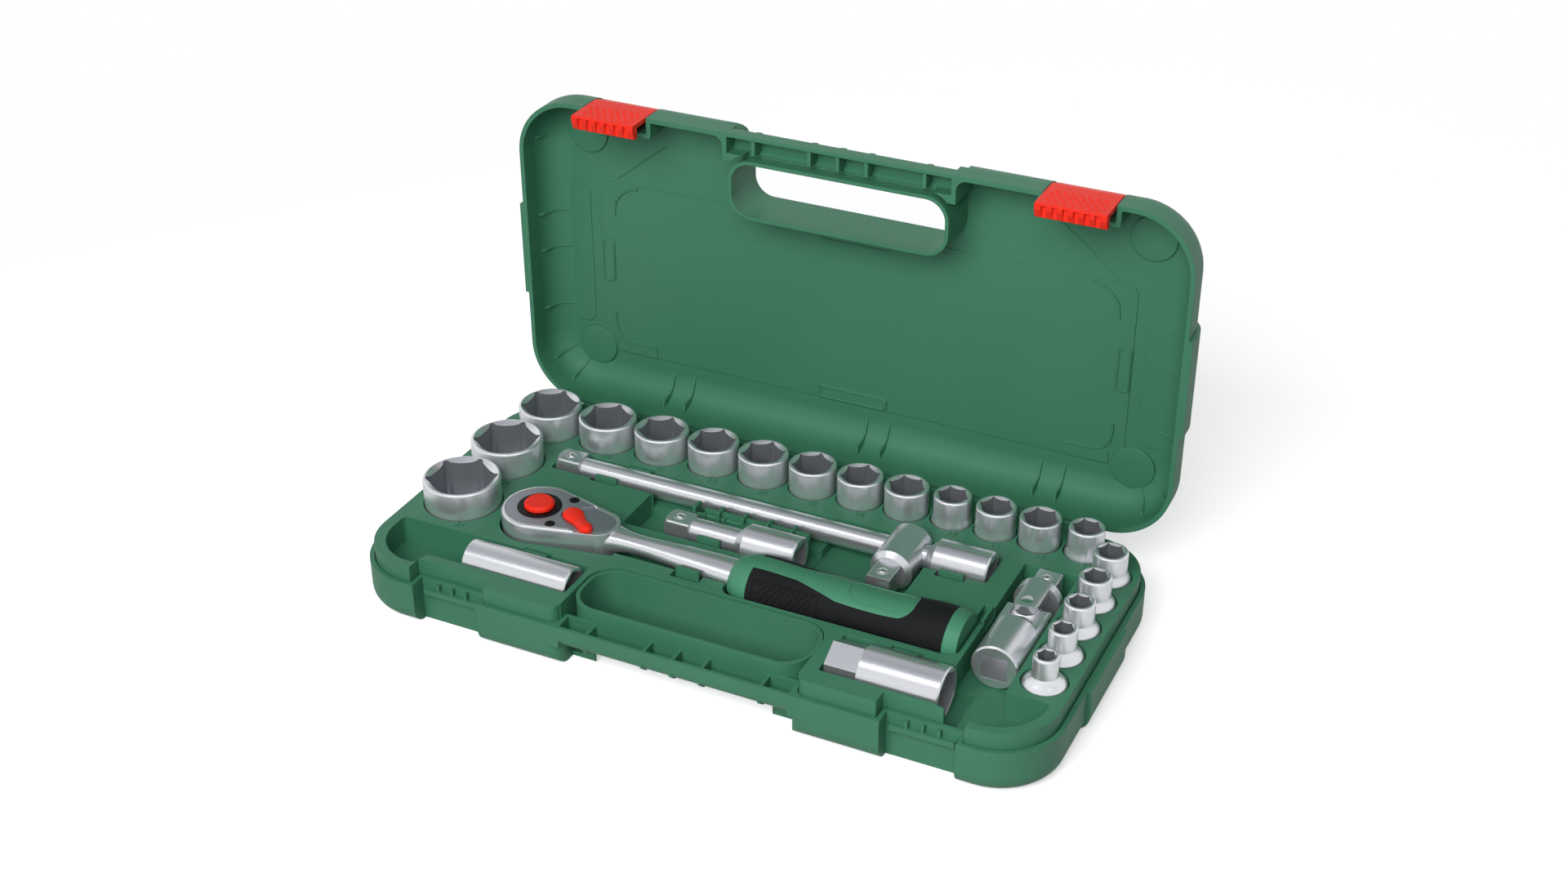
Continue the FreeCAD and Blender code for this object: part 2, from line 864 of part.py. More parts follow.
def drive_gear():
    """Toothed disc with its journal, the square drive under it and the hub that shows round the button."""
    y = ratchet_line
    half = drive_square / 2
    section = rectangle(drive_x - half, drive_x + half, y - half, y + half, square_corner)
    square = prism(section, drive_tip_z, head_bottom + 1)
    body = joined([
        gear_prism(0, gear_bottom, gear_bottom + gear_height),
        disc(drive_x, y, gear_journal_radius, head_bottom, gear_bottom + 1),
        disc(drive_x, y, gear_hub_radius, gear_bottom + gear_height - 1, hub_top),
        square,
    ])
    cutters = [
        disc(drive_x, y, button_radius + slide_gap, button_low - button_travel - slide_gap, hub_top + 1),
        disc(drive_x, y, release_pin_radius + slide_gap, drive_tip_z + pin_floor, hub_top),
        ball_seat(drive_x, y - ball_sink, drive_tip_z + ball_from_tip),
    ]
    return body.cut(cutters)


def drive_ball():
    return ball(drive_x, ratchet_line - ball_sink, drive_tip_z + ball_from_tip)


def release_button():
    r = button_radius
    c = button_chamfer
    top = hub_top + button_rise
    button = turned([(0, button_low), (r, button_low), (r, top - c), (r - c, top), (0, top)])
    button.translate(V(drive_x, ratchet_line, 0))
    return button


def release_pin():
    low = drive_tip_z + pin_floor + button_travel + seat_gap
    pin = disc(drive_x, ratchet_line, release_pin_radius, low, button_low)
    return pin.cut(ball_seat(drive_x, ratchet_line - ball_sink, drive_tip_z + ball_from_tip))


def pawl():
    """Double-ended pawl: one end in mesh, the other free until the lever turns it over."""
    y = ratchet_line
    low = gear_bottom + (gear_height - pawl_height) / 2
    high = low + pawl_height
    outer = disc(drive_x, y, pawl_pivot_from_drive - pawl_back_inset, low, high)
    reach = math.radians(pawl_reach_angle)
    far = pawl_pivot_from_drive + 6
    span = [(drive_x, y, 0), (drive_x + far * math.cos(reach), y - far * math.sin(reach), 0),
            (drive_x + far * math.cos(reach), y + far * math.sin(reach), 0)]
    blank = outer.common(prism(span, low, high))
    blank = blank.fuse(disc(pawl_x, y, pawl_boss_radius, low, high)).removeSplitter()
    middle = V(pawl_x, y, 0)
    blank = blank.cut(disc(drive_x, y, gear_radius + tooth_gap, low - 1, high + 1))
    blank.rotate(middle, V(0, 0, 1), -pawl_swing / 2)
    mesh = gear_prism(tooth_gap, low - 1, high + 1)
    turned_mesh = mesh.copy()
    turned_mesh.rotate(middle, V(0, 0, 1), -pawl_swing)
    hole = disc(pawl_x, y, lever_shaft_radius + slide_gap, low - 1, high + 1)
    return blank.cut([mesh, turned_mesh, hole])


def reverse_lever():
    """Thumb lever over the cover on a shaft that carries the pawl; it rests turned to one side."""
    y = ratchet_line
    low = cover_top - lever_step + seat_gap
    high = low + lever_rise
    root, tip = lever_half_width, lever_tip_half_width
    end = pawl_x + lever_length
    arm = [
        (pawl_x, y + root, 0), (pawl_x, y - root, 0), (end - tip, y - tip, lever_tip_round),
        (end, y, lever_tip_round / 2), (end - tip, y + tip, lever_tip_round),
    ]
    shape = joined([
        disc(pawl_x, y, lever_boss_radius, low, high),
        prism(arm, low, high),
        disc(pawl_x, y, lever_shaft_radius, gear_bottom - pawl_room + seat_gap, low + 1),
    ])
    shape.rotate(V(pawl_x, y, 0), V(0, 0, 1), -lever_swing / 2)
    return shape


def handle_form(inset):
    """Waisted handle of oval section, drawn in by inset."""
    shares = ((0.0, 0.70), (0.05, 0.92), (0.16, 1.0), (0.45, 0.92), (0.72, 0.90), (0.93, 0.98), (1.0, 0.86))
    rings = []
    for share, scale in shares:
        x = handle_start + inset / 2 + share * (handle_length - inset)
        width = handle_width * scale - 2 * inset
        rings.append(ellipse_x(x, handle_level, width, handle_height * scale - 2 * inset))
    return Part.makeLoft(rings, True)


def grip_region():
    """Where the soft grip covers the handle: all round, with a bare panel on top and under."""
    y = ratchet_line
    start = handle_start + grip_start
    end = handle_start + handle_length - grip_end_margin
    sleeve = block(start, end, y - handle_width, y + handle_width, 0, handle_level + handle_height)
    narrow, wide = panel_neck_half_width, panel_half_width
    neck = handle_start + panel_neck_end
    swell = handle_start + panel_start
    tip = handle_start + panel_end
    bend, tip_round = panel_bend_round, panel_end_round
    steps = [(start - 1, narrow, 0), (neck, narrow, bend), (swell, wide, bend), (tip, wide, tip_round)]
    front = [(x, y - half, radius) for x, half, radius in steps]
    back = [(x, y + half, radius) for x, half, radius in reversed(steps)]
    return sleeve.cut(prism(front + back, 0, handle_level + handle_height))


def handle_grip():
    return handle_form(0).cut(handle_form(grip_thickness)).common(grip_region())


def handle_core():
    shell = handle_form(0).cut(handle_grip())
    return shell.cut(ratchet_body())


# Tray: a moulded sheet with a pocket for every tool

def grown(x0, x1, y0, y1, grow, radius=1.5):
    return rectangle(x0 - grow, x1 + grow, y0 - grow, y1 + grow, radius + grow)


def pockets(grow):
    """Every pocket as a solid; grow draws its sides and floor out by the skin of the sheet."""
    high = tray_top + (0 if grow else 1)
    shapes = []

    def add(corners, floor):
        shapes.append(prism(corners, floor - grow, high))

    for size, (x, y) in socket_place.items():
        radius = socket_foot_diameter(size) / 2 + pocket_gap
        shapes.append(disc(x, y, radius + grow, socket_bottom(size) - seat_gap - grow, high))

    room = trough_room
    shaft_floor = bar_level - drive_square / 2 - seat_gap
    big_floor = bar_level - t_head_diameter / 2 - seat_gap
    half = bar_diameter / 2
    female = female_diameter / 2
    bar_front_side, bar_back_side = bar_line - half - room, bar_line + half + room
    neck = bar_end - female_length
    add(grown(bar_start - end_room, neck, bar_front_side, bar_back_side, grow), shaft_floor)
    add(grown(neck - female_taper - end_room, bar_end + end_room, bar_line - female - end_room,
              bar_line + female + end_room, grow), bar_level - female - seat_gap)
    head = t_head_diameter / 2
    head_left = t_head_x - head - t_head_slide_room - end_room
    head_right = t_head_x + head + room
    add(grown(head_left, head_right, bar_front_side, bar_line + t_head_back + end_room, grow), big_floor)
    add(grown(head_left, head_right, t_head_tip - end_room, bar_front_side + 2, grow), big_floor)
    short_front, short_back = short_line - female - end_room, short_line + female + short_room
    add(grown(short_start - thumb_room, t_head_x, short_front, short_back, grow, 2.5),
        short_level - female - seat_gap)

    y = ratchet_line
    shapes.append(disc(drive_x, y, head_radius + end_room + grow, head_bottom - seat_gap - grow, high))
    shapes.append(disc(drive_x, y, drive_square * 0.75 + grow, drive_tip_z - seat_gap - grow, high))
    taper = tail_half_width + room + grow
    wide = head_radius + end_room + grow
    tail_end = tail_x + room
    add([(drive_x, y + wide, 0), (drive_x, y - wide, 0), (tail_end, y - taper, 0), (tail_end, y + taper, 0)],
        head_bottom - seat_gap)
    shank = shank_width / 2 + end_room
    shank_floor = shank_level - shank_height - seat_gap
    add(grown(tail_x - 2, handle_start + 2, y - shank, y + shank, grow), shank_floor)
    wide = handle_width / 2 + end_room
    handle_end = handle_start + handle_length
    add(grown(handle_start - end_room, handle_end + end_room, y - wide, y + wide, grow, 6),
        handle_level - handle_height / 2 - seat_gap)

    near = -tray_half_y + edge_margin
    small = plug_small_diameter / 2
    left = -tray_half_x + edge_margin + end_room
    corner = tray_corner - edge_margin
    recess_end = -latch_x - recess_half
    small_floor = plug_small_level - small - seat_gap
    trough_front = plug_line - small - pocket_gap
    small_end = plug_small_x + plug_small_length + end_room + grow
    small_back = plug_line + small + room + grow
    add([(small_end, small_back, 1.5), (left - grow, small_back, 3),
         (left - grow, near - grow, corner + grow), (recess_end - 4 + grow, near - grow, 3),
         (recess_end - 1 + grow, trough_front - grow, 0.8), (small_end, trough_front - grow, 1.5)],
        small_floor)
    large = plug_large_diameter / 2
    large_end = plug_large_x + plug_large_length + large_plug_room
    large_front, large_back = plug_line - large - end_room, plug_line + large + room
    add(grown(plug_large_x - end_room, large_end, large_front, large_back, grow),
        plug_large_level - large - seat_gap)
    joint_left = joint_x - joint_diameter / 2 - room
    joint_right = joint_x + joint_diameter / 2 + pocket_gap
    add(grown(joint_left, joint_right, near + joint_front_room, joint_tip + joint_back_room, grow),
        joint_level - joint_diameter / 2 - seat_gap)
    right = tray_half_x - edge_margin - end_room
    top = socket_place[right_column[-1]][1] - drive_end_diameter / 2 - pocket_gap - room
    add([(right + grow, top + grow, 3), (joint_left - grow, top + grow, 1.5),
         (joint_left - grow, near + joint_back_room - grow, 1.5),
         (-recess_end + 4 - grow, near - grow, 1.5), (right + grow, near - grow, corner + grow)], small_floor)
    return shapes


def tool_clips():
    """Each spring clip: middle along the tool, the tool's side line, which side, foot level, rise,
    and whether the tool lies along Y."""
    half, female = bar_diameter / 2, female_diameter / 2
    shaft_floor = bar_level - drive_square / 2 - seat_gap
    notch_floor = tray_top - notch_drop
    small, large = plug_small_diameter / 2, plug_large_diameter / 2
    left, right = bar_start + bar_clip_from_start, bar_end - bar_clip_from_end
    yield left, bar_line + half, 1, shaft_floor, clip_rise, False
    yield left - clip_width, bar_line - half, -1, shaft_floor, clip_rise, False
    yield right, bar_line + female, 1, notch_floor, clip_rise, False
    yield right, bar_line - female, -1, notch_floor, clip_rise, False
    shank = handle_start - shank_clip_from_handle
    yield shank, ratchet_line - shank_width / 2 - end_room, -1, notch_floor, shank_clip_rise, False
    short = short_start + short_clip_from_start
    yield short, short_line - short_diameter / 2, -1, short_level - female - seat_gap, clip_rise, False
    small_floor = plug_small_level - small - seat_gap
    yield plug_small_x + plug_clip_from_start, plug_line + small, 1, small_floor, clip_rise, False
    large_floor = plug_large_level - large - seat_gap
    yield plug_large_x + plug_clip_from_start, plug_line + large, 1, large_floor, clip_rise, False
    joint_side = joint_x - joint_diameter / 2 - trough_room
    yield joint_line - joint_clip_from_middle, joint_side, -1, notch_floor, clip_rise, True


def crosswise(x0, x1, y0, y1, along_y):
    """Sides given along and across a tool, as sides in X and Y."""
    return (y0, y1, x0, x1) if along_y else (x0, x1, y0, y1)


def clip_notches(grow):
    """The step in the deck behind each clip."""
    shapes = []
    half = clip_width / 2 + notch_side_room
    for middle, line, side, foot, rise, along_y in tool_clips():
        near, far = line, line + side * (clip_gap + clip_thickness + notch_depth)
        sides = crosswise(middle - half, middle + half, min(near, far), max(near, far), along_y)
        high = tray_top + (0 if grow else 1)
        shapes.append(prism(grown(*sides, grow, 0.5), tray_top - notch_drop - grow, high))
    return shapes


def clip_fingers():
    shapes = []
    half = clip_width / 2
    for middle, line, side, foot, rise, along_y in tool_clips():
        near, far = line + side * clip_gap, line + side * (clip_gap + clip_thickness)
        sides = crosswise(middle - half, middle + half, min(near, far), max(near, far), along_y)
        shapes.append(block(*sides, foot - tray_skin / 2, tray_top + rise))
    return shapes


def bracket():
    """Ribbed wall that stands behind the short extension."""
    front = short_line + female_diameter / 2 + bracket_gap
    low = short_level - female_diameter / 2 - seat_gap - tray_skin / 2
    start = short_start + bracket_start
    end = start + bracket_length
    shapes = [block(start, end, front, front + bracket_thickness, low, tray_top + bracket_rise)]
    pitch = (bracket_length - bracket_rib) / (bracket_rib_count - 1)
    for i in range(bracket_rib_count):
        x = start + i * pitch
        shapes.append(block(x, x + bracket_rib, front - bracket_rib_depth, front + 1, low, tray_top))
    return shapes


def tray_notches(inset):
    """What the handle and the latch recesses take from the front of a part set in from the shell."""
    half = aperture_width / 2 + collar_wall + inset
    back = aperture_back + collar_wall + inset
    corner = aperture_corner + collar_wall + inset
    front = -case_half_y - 10
    high = tray_top + 5
    hand = [(half, front, 0), (half, back, corner), (-half, back, corner), (-half, front, 0)]
    shapes = [prism(hand, -1, high)]
    shapes += handle_corners(wall + inset, -1, high)
    reach = recess_half + wall + inset
    for side in (1, -1):
        x = side * latch_x
        sides = rectangle(x - reach, x + reach, front, recess_y + wall + inset, recess_corner)
        shapes.append(prism(sides, -1, high))
    return shapes


def tool_tray():
    bottom = wall + seat_gap
    sheet = pan(wall + tray_gap, bottom, tray_top, tray_edge_round).cut(tray_notches(tray_gap))
    under = pan(wall + tray_gap + tray_skin, bottom - 1, tray_top - tray_skin, tray_edge_round)
    under = under.cut(tray_notches(tray_gap + tray_skin))
    cups = pockets(tray_skin) + clip_notches(tray_skin)
    under = under.cut(cups[0].fuse(cups[1:]))
    holes = pockets(0) + clip_notches(0)
    moulding = sheet.cut(under).cut(holes[0].fuse(holes[1:]))
    return joined([moulding] + clip_fingers() + bracket())


# Case shells

def pan(inset, low, high, edge_round):
    """Block with the case's plan drawn in by inset, its lower edge rounded."""
    x, y, r = case_half_x - inset, case_half_y - inset, case_corner - inset
    solid = prism(rectangle(-x, x, -y, y, r), low, high)
    edges = [e for e in solid.Edges if e.BoundBox.ZMax < low + 0.01]
    return solid.makeFillet(edge_round, edges)


def aperture(inset, low, high):
    half = aperture_width / 2 - inset
    sides = rectangle(-half, half, aperture_front + inset, aperture_back - inset, aperture_corner - inset)
    return prism(sides, low, high)


def handle_corners(inset, low, high):
    """What the round ends beside the handle leave free, drawn in by inset."""
    near, far = aperture_width / 2, aperture_width / 2 + handle_end_round
    back = bar_front + handle_end_round
    shapes = []
    for side in (1, -1):
        x0, x1 = sorted((side * near, side * far))
        corner = block(x0, x1, -case_half_y - 10, back, low, high)
        shapes.append(corner.cut(disc(side * far, back, handle_end_round - inset, low - 1, high + 1)))
    return shapes


def handle_section(inset, rim):
    """Cross-section of the half-tube handle in the YZ plane, open towards the rim."""
    low = rim - bar_height + inset
    y0, y1 = bar_front + inset, aperture_front - inset
    r = (bar_depth - 2 * inset) / 2 - 0.5
    top = rim + 1 if inset else rim
    return [(y0, top, 0), (y0, low, r), (y1, low, r), (y1, top, 0)]


def half_case(height, edge_round, hole_inset):
    """One moulded half of the case, open upwards: walls, side belts, handle half and latch recesses."""
    outer = pan(0, 0, height, edge_round)
    belt_x, belt_y = case_half_x + belt_depth, belt_length / 2
    belt = block(-belt_x, belt_x, -belt_y, belt_y, 0, height)
    low_edges = [e for e in belt.Edges if e.BoundBox.ZMax < 0.01 and e.BoundBox.XLength < 0.01]
    outer = joined([outer, belt.makeFillet(edge_round, low_edges)])
    cavity = pan(wall, wall, height + 1, max(edge_round - wall, 1.0))
    half = aperture_width / 2
    front = -case_half_y - 10
    keep = [aperture(hole_inset - collar_wall, 0, height + 2)]
    keep.append(block(-half - wall, half + wall, front, aperture_front + hole_inset, 0, height + 2))
    keep += handle_corners(wall, 0, height + 2)
    for side in (1, -1):
        x, reach = side * latch_x, recess_half + wall
        sides = rectangle(x - reach, x + reach, front, recess_y + wall, recess_corner)
        keep.append(prism(sides, 0, height + 2))
    shell = outer.cut(cavity.cut(keep))
    cutters = [aperture(hole_inset, -1, height + 1)]
    cutters.append(block(-half, half, front, aperture_front, -1, height + 1))
    cutters += handle_corners(0, -1, height - bar_height)
    for side in (1, -1):
        x = side * latch_x
        cutters.append(block(x - recess_half, x + recess_half, front, recess_y, -1, height + 1))
    shell = shell.cut(cutters)
    tube = prism(handle_section(0, height), -half - wall, half + wall, "yz")
    hollow = prism(handle_section(bar_wall, height), -half, half, "yz")
    ribs = []
    for offset in rib_offsets:
        low, high = offset - rib_thickness / 2, offset + rib_thickness / 2
        ribs.append(prism(handle_section(0, height - rib_drop), low, high, "yz"))
    return joined([shell, tube.cut(hollow)] + ribs)


def knuckle(x0, x1, low, high):
    """Hinge eye with the web that ties it to the back wall between two levels."""
    web = block(x0, x1, case_half_y - 1, hinge_y, low, high)
    return joined([rod_x(x0, x1, hinge_y, hinge_z, knuckle_radius), web])


def hinge_spans():
    """Lid knuckle and the two base knuckles beside it, at each of the three hinges."""
    half = lid_knuckle_length / 2
    for middle in (-hinge_spacing, 0.0, hinge_spacing):
        lid = (middle - half, middle + half)
        right = (middle + half + knuckle_gap, middle + half + knuckle_gap + base_knuckle_length)
        left = (middle - half - knuckle_gap - base_knuckle_length, middle - half - knuckle_gap)
        yield lid, left, right


def collar(grow, low, high):
    """Upstanding collar round the aperture, drawn out on both faces by grow."""
    return aperture(-collar_wall - grow, low, high).cut(aperture(grow, low - 1, high + 1))


def base_shell():
    shell = half_case(base_height, base_edge_round, 0.0)
    pieces = [shell, collar(0, base_height - 1, base_height + collar_rise)]
    catch_top = base_height - catch_top_drop
    catch_low = catch_top - catch_height
    w = latch_width / 2 - catch_side_gap
    for side in (1, -1):
        x = side * latch_x
        pieces.append(block(x - w, x + w, recess_y - catch_depth, recess_y + 1, catch_low, catch_top))
        rib_front = recess_y - catch_depth + catch_rib / 2
        for middle in (x - w / 2, x, x + w / 2):
            x0, x1 = middle - catch_rib / 2, middle + catch_rib / 2
            pieces.append(block(x0, x1, rib_front, recess_y + 1, catch_low, base_height - 1))
    for lid, left, right in hinge_spans():
        for x0, x1 in (left, right):
            pieces.append(knuckle(x0, x1, hinge_z - knuckle_radius, hinge_z))
    bore = rod_x(-case_half_x, case_half_x, hinge_y, hinge_z, hinge_pin_radius)
    return joined(pieces).cut(bore)


def hinge_pins():
    pins = []
    for lid, left, right in hinge_spans():
        pins.append(rod_x(left[0], right[1], hinge_y, hinge_z, hinge_pin_radius))
    return Part.makeCompound(pins)


# Lid: modelled lying on its back, then turned over on the base and swung open

def closed_from_back(shape):
    shape = shape.copy()
    shape.rotate(V(0, 0, 0), V(0, 1, 0), 180)
    shape.translate(V(0, 0, lid_rim + lid_depth))
    return shape


def swung_open(shape):
    shape = shape.copy()
    shape.rotate(V(0, hinge_y, hinge_z), V(1, 0, 0), -90)
    return shape


def lid_panels():
    """Low panels, tabs and discs on the inside of the lid's back."""
    foot = wall - 0.5
    shapes = []
    edge_x, edge_y = case_half_x - panel_from_end, case_half_y - panel_from_back
    main = prism(rectangle(-edge_x, edge_x, panel_front, edge_y, panel_corner), foot, wall + panel_rise)
    shapes.append(main.cut(aperture(-collar_wall, 0, wall + lid_depth)))
    tabs = [(0.0, edge_y - tab_width / 2, centre_tab_length, tab_width)]
    for side in (1, -1):
        disc_x = side * (case_half_x - lid_disc_from_end)
        for disc_y in (case_half_y - lid_disc_from_side, lid_disc_from_side - case_half_y):
            shapes.append(disc(disc_x, disc_y, lid_disc_radius, foot, wall + lid_disc_rise))
        tabs.append((side * (edge_x - tab_width / 2), tab_middle, tab_width, tab_length))
        tabs.append((side * (edge_x - tab_width - corner_tab_length / 2), edge_y - tab_width / 2,
                     corner_tab_length, tab_width))
        inner, outer = case_half_x - end_panel_from_end, case_half_x - end_panel_from_end + end_panel_depth
        x0, x1 = sorted((side * inner, side * outer))
        sides = rectangle(x0, x1, end_panel_front, end_panel_back, panel_corner)
        shapes.append(prism(sides, foot, wall + end_panel_rise))
    for x, y, length, width in tabs:
        sides = rectangle(x - length / 2, x + length / 2, y - width / 2, y + width / 2, tab_corner)
        shapes.append(prism(sides, foot, wall + tab_rise))
    return shapes


def gusset(turn, x, y):
    """Thin web in the bend of the lid, set against a wall that lies to +Y before the turn about Z."""
    far = 2 * wall + gusset_reach
    web = prism([(0, 0, 0), (0, far, 0), (-far, 0, 0)], -gusset_thickness / 2, gusset_thickness / 2, "yz")
    web.rotate(V(0, 0, 0), V(0, 0, 1), turn)
    web.translate(V(x, y, 0))
    return web


def lid_gussets():
    """Webs along the hinge wall, the two ends and the corners between them."""
    shapes = []
    for lid, left, right in hinge_spans():
        shapes += [gusset(0, x, case_half_y) for x in lid]
    centre_x, centre_y = case_half_x - case_corner, case_half_y - case_corner
    for side in (1, -1):
        shapes += [gusset(-90 * side, side * case_half_x, y) for y in end_gussets]
        for angle in corner_gusset_angles:
            turn = math.radians(angle)
            x = side * (centre_x + case_corner * math.sin(turn))
            shapes.append(gusset(-angle * side, x, centre_y + case_corner * math.cos(turn)))
    return shapes


def lid_shell():
    shell = half_case(lid_depth, lid_edge_round, collar_wall + nest_gap)
    inside = pan(wall / 2, wall / 2, lid_depth, lid_edge_round - wall / 2)
    trim = [shape.common(inside) for shape in lid_gussets()]
    lid = closed_from_back(joined([shell] + lid_panels() + trim))
    hinges = []
    for span, left, right in hinge_spans():
        hinges.append(knuckle(span[0], span[1], hinge_z, hinge_z + knuckle_radius))
    lid = joined([lid] + hinges)
    pivot_y, pivot_z = latch_pivot()
    cutters = [
        rod_x(-case_half_x, case_half_x, hinge_y, hinge_z, hinge_pin_radius + running_gap),
        collar(nest_gap, base_height - 1, base_height + collar_rise + nest_gap),
    ]
    for side in (1, -1):
        x = side * latch_x
        reach = recess_half + wall + 0.5
        cutters.append(rod_x(x - reach, x + reach, pivot_y, pivot_z, latch_pin_radius))
    return swung_open(lid.cut(cutters))


def latch_pivot():
    return -case_half_y + latch_pivot_depth, lid_rim + latch_pivot_above_rim


def latch(side):
    """Hook plate on the lid's front edge, drawn as it sits when the case is shut."""
    y, z = latch_pivot()
    face = -case_half_y
    back = face + latch_plate
    foot = base_height - latch_below_rim
    lip = base_height - catch_top_drop - catch_height - seat_gap
    lip_y = recess_y - latch_lip_clear
    low = lip - latch_lip_height
    bend = z - latch_bend_drop
    lean = latch_eye_radius * math.cos(math.pi / 4)
    corners = [
        (face, foot, 1.0), (face, bend, 6.0), (y - lean, z + lean, 0), (y, z, 0), (back, bend, 2.0),
        (back, lip, 0), (lip_y, lip, 0.4), (lip_y, low, 0.4), (back + 1, foot, 0.5),
    ]
    x = side * latch_x
    half = latch_width / 2
    plate = prism(corners, x - half, x + half, "yz")
    eye = rod_x(x - half, x + half, y, z, latch_eye_radius)
    cutters = [rod_x(x - half - 1, x + half + 1, y, z, latch_pin_radius + running_gap)]
    for i in range(comb_count):
        middle = x + (i - (comb_count - 1) / 2) * comb_pitch
        x0, x1 = middle - comb_width / 2, middle + comb_width / 2
        cutters.append(block(x0, x1, face + comb_skin, recess_y, foot - 1, low))
    return swung_open(joined([plate, eye]).cut(cutters))


def latch_pins():
    y, z = latch_pivot()
    reach = recess_half + wall
    middles = (latch_x, -latch_x)
    pins = [rod_x(x - reach, x + reach, y, z, latch_pin_radius) for x in middles]
    return swung_open(Part.makeCompound(pins))


# Every node and the solid it holds

def all_pieces():
    small_plug = (plug_small_size, plug_small_diameter, plug_small_length)
    large_plug = (plug_large_size, plug_large_diameter, plug_large_length)
    pieces = {
        "base_shell": base_shell(),
        "tool_tray": tool_tray(),
        "hinge_pins": hinge_pins(),
        "lid_shell": lid_shell(),
        "latch_left": latch(-1),
        "latch_right": latch(1),
        "latch_pins": latch_pins(),
        "ratchet_body": ratchet_body(),
        "ratchet_cover": ratchet_cover(),
        "cover_screws": cover_screws(),
        "drive_gear": drive_gear(),
        "drive_ball": drive_ball(),
        "release_button": release_button(),
        "release_pin": release_pin(),
        "pawl": pawl(),
        "reverse_lever": reverse_lever(),
        "handle_core": handle_core(),
        "handle_grip": handle_grip(),
        "long_bar": long_bar(),
        "long_bar_ball": long_bar_ball(),
        "t_head": t_head(),
        "t_head_ball": t_head_ball(),
        "short_extension": short_extension(),
        "short_extension_ball": short_extension_ball(),
        "joint_male_yoke": joint_male(),
        "joint_female_yoke": joint_female(),
        "joint_block": joint_block(),
        "joint_pins": joint_pins(),
        "joint_ball": joint_ball(),
        "plug_socket_16": lay_small_plug(plug_socket(*small_plug, False)),
        "plug_insert_16": lay_small_plug(plug_insert(*small_plug)),
        "plug_socket_21": lay_large_plug(plug_socket(*large_plug, True)),
        "plug_insert_21": lay_large_plug(plug_insert(*large_plug)),
    }
    for size, (x, y) in socket_place.items():
        shape = socket(size)
        shape.translate(V(x, y, socket_bottom(size)))
        pieces["socket_%02d" % size] = shape
    return pieces


os.makedirs("parts", exist_ok=True)
for name, shape in all_pieces().items():
    shape.exportStep("parts/%s.step" % name)
    print(name, shape.isValid(), len(shape.Solids), len(shape.Faces), round(shape.Volume / 1000, 2))
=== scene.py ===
import json
import math

import bmesh
import bpy
from mathutils import Matrix, Vector


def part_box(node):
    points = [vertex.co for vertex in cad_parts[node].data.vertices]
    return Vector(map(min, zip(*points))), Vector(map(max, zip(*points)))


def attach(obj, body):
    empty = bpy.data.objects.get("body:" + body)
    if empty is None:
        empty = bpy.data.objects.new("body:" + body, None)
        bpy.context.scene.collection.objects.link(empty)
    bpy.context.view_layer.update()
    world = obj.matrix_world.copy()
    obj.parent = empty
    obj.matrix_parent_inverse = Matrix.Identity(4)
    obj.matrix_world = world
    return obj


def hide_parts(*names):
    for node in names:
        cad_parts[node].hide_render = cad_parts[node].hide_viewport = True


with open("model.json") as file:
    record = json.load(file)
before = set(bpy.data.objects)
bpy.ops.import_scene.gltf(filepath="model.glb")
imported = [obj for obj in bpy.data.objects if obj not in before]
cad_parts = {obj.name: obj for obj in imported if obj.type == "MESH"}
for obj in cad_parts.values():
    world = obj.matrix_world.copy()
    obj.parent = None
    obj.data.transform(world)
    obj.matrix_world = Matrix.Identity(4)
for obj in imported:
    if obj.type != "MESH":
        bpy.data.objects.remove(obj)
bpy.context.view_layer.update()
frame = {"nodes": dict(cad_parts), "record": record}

# The dressed look of a half-inch socket wrench set in its open carrying case.
# Metres, in the same frame as the solids.

mm = 0.001
nodes = frame["nodes"]

# Sizes that place the added pieces
deck_height = 33.0 * mm
bar_trough_back = 45.5 * mm
hinge_y = 97.5 * mm
hinge_z = 24.65 * mm
lid_half_x = 188.0
lid_half_y = 91.0
lid_bend = 18.0
lid_corner = 33.0
lid_wall = 2.5 * mm
lid_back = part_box("lid_shell")[1][1] - lid_wall
handle_start = 2.0 * mm
drive_x = -112.0 * mm
head_bottom = 20.4 * mm
cover_top = 42.5 * mm
handle_line = -22.5 * mm
handle_level = 32.0 * mm
drive_square = 12.7 * mm
square_hole = 13.1 * mm
square_depth = 15.0 * mm
corner_first_size = 18
number_height = 4.0 * mm
camera_place = (0.4028, -0.8084, 0.6320)
camera_turn = 25.49
camera_drop = 30.60
camera_lens = 48.84


# Materials: every one is a principled shader with its own grain and softened edges

def new_material(name, colour, roughness, metallic=0.0):
    made = bpy.data.materials.new(name)
    made.use_nodes = True
    shader = made.node_tree.nodes["Principled BSDF"]
    shader.inputs["Base Color"].default_value = (*colour, 1.0)
    shader.inputs["Roughness"].default_value = roughness
    shader.inputs["Metallic"].default_value = metallic
    made.diffuse_color = (*colour, 1.0)
    return made, made.node_tree, shader


def link(tree, source, target):
    tree.links.new(source, target)


def noise(tree, scale, detail=3.0, stretch=(1.0, 1.0, 1.0)):
    """Noise over the object's own coordinates, in metres, drawn out along an axis by a small stretch."""
    place = tree.nodes.new("ShaderNodeTexCoord")
    mapping = tree.nodes.new("ShaderNodeMapping")
    mapping.inputs["Scale"].default_value = stretch
    texture = tree.nodes.new("ShaderNodeTexNoise")
    texture.inputs["Scale"].default_value = scale
    texture.inputs["Detail"].default_value = detail
    link(tree, place.outputs["Object"], mapping.inputs["Vector"])
    link(tree, mapping.outputs["Vector"], texture.inputs["Vector"])
    return texture.outputs["Fac"]


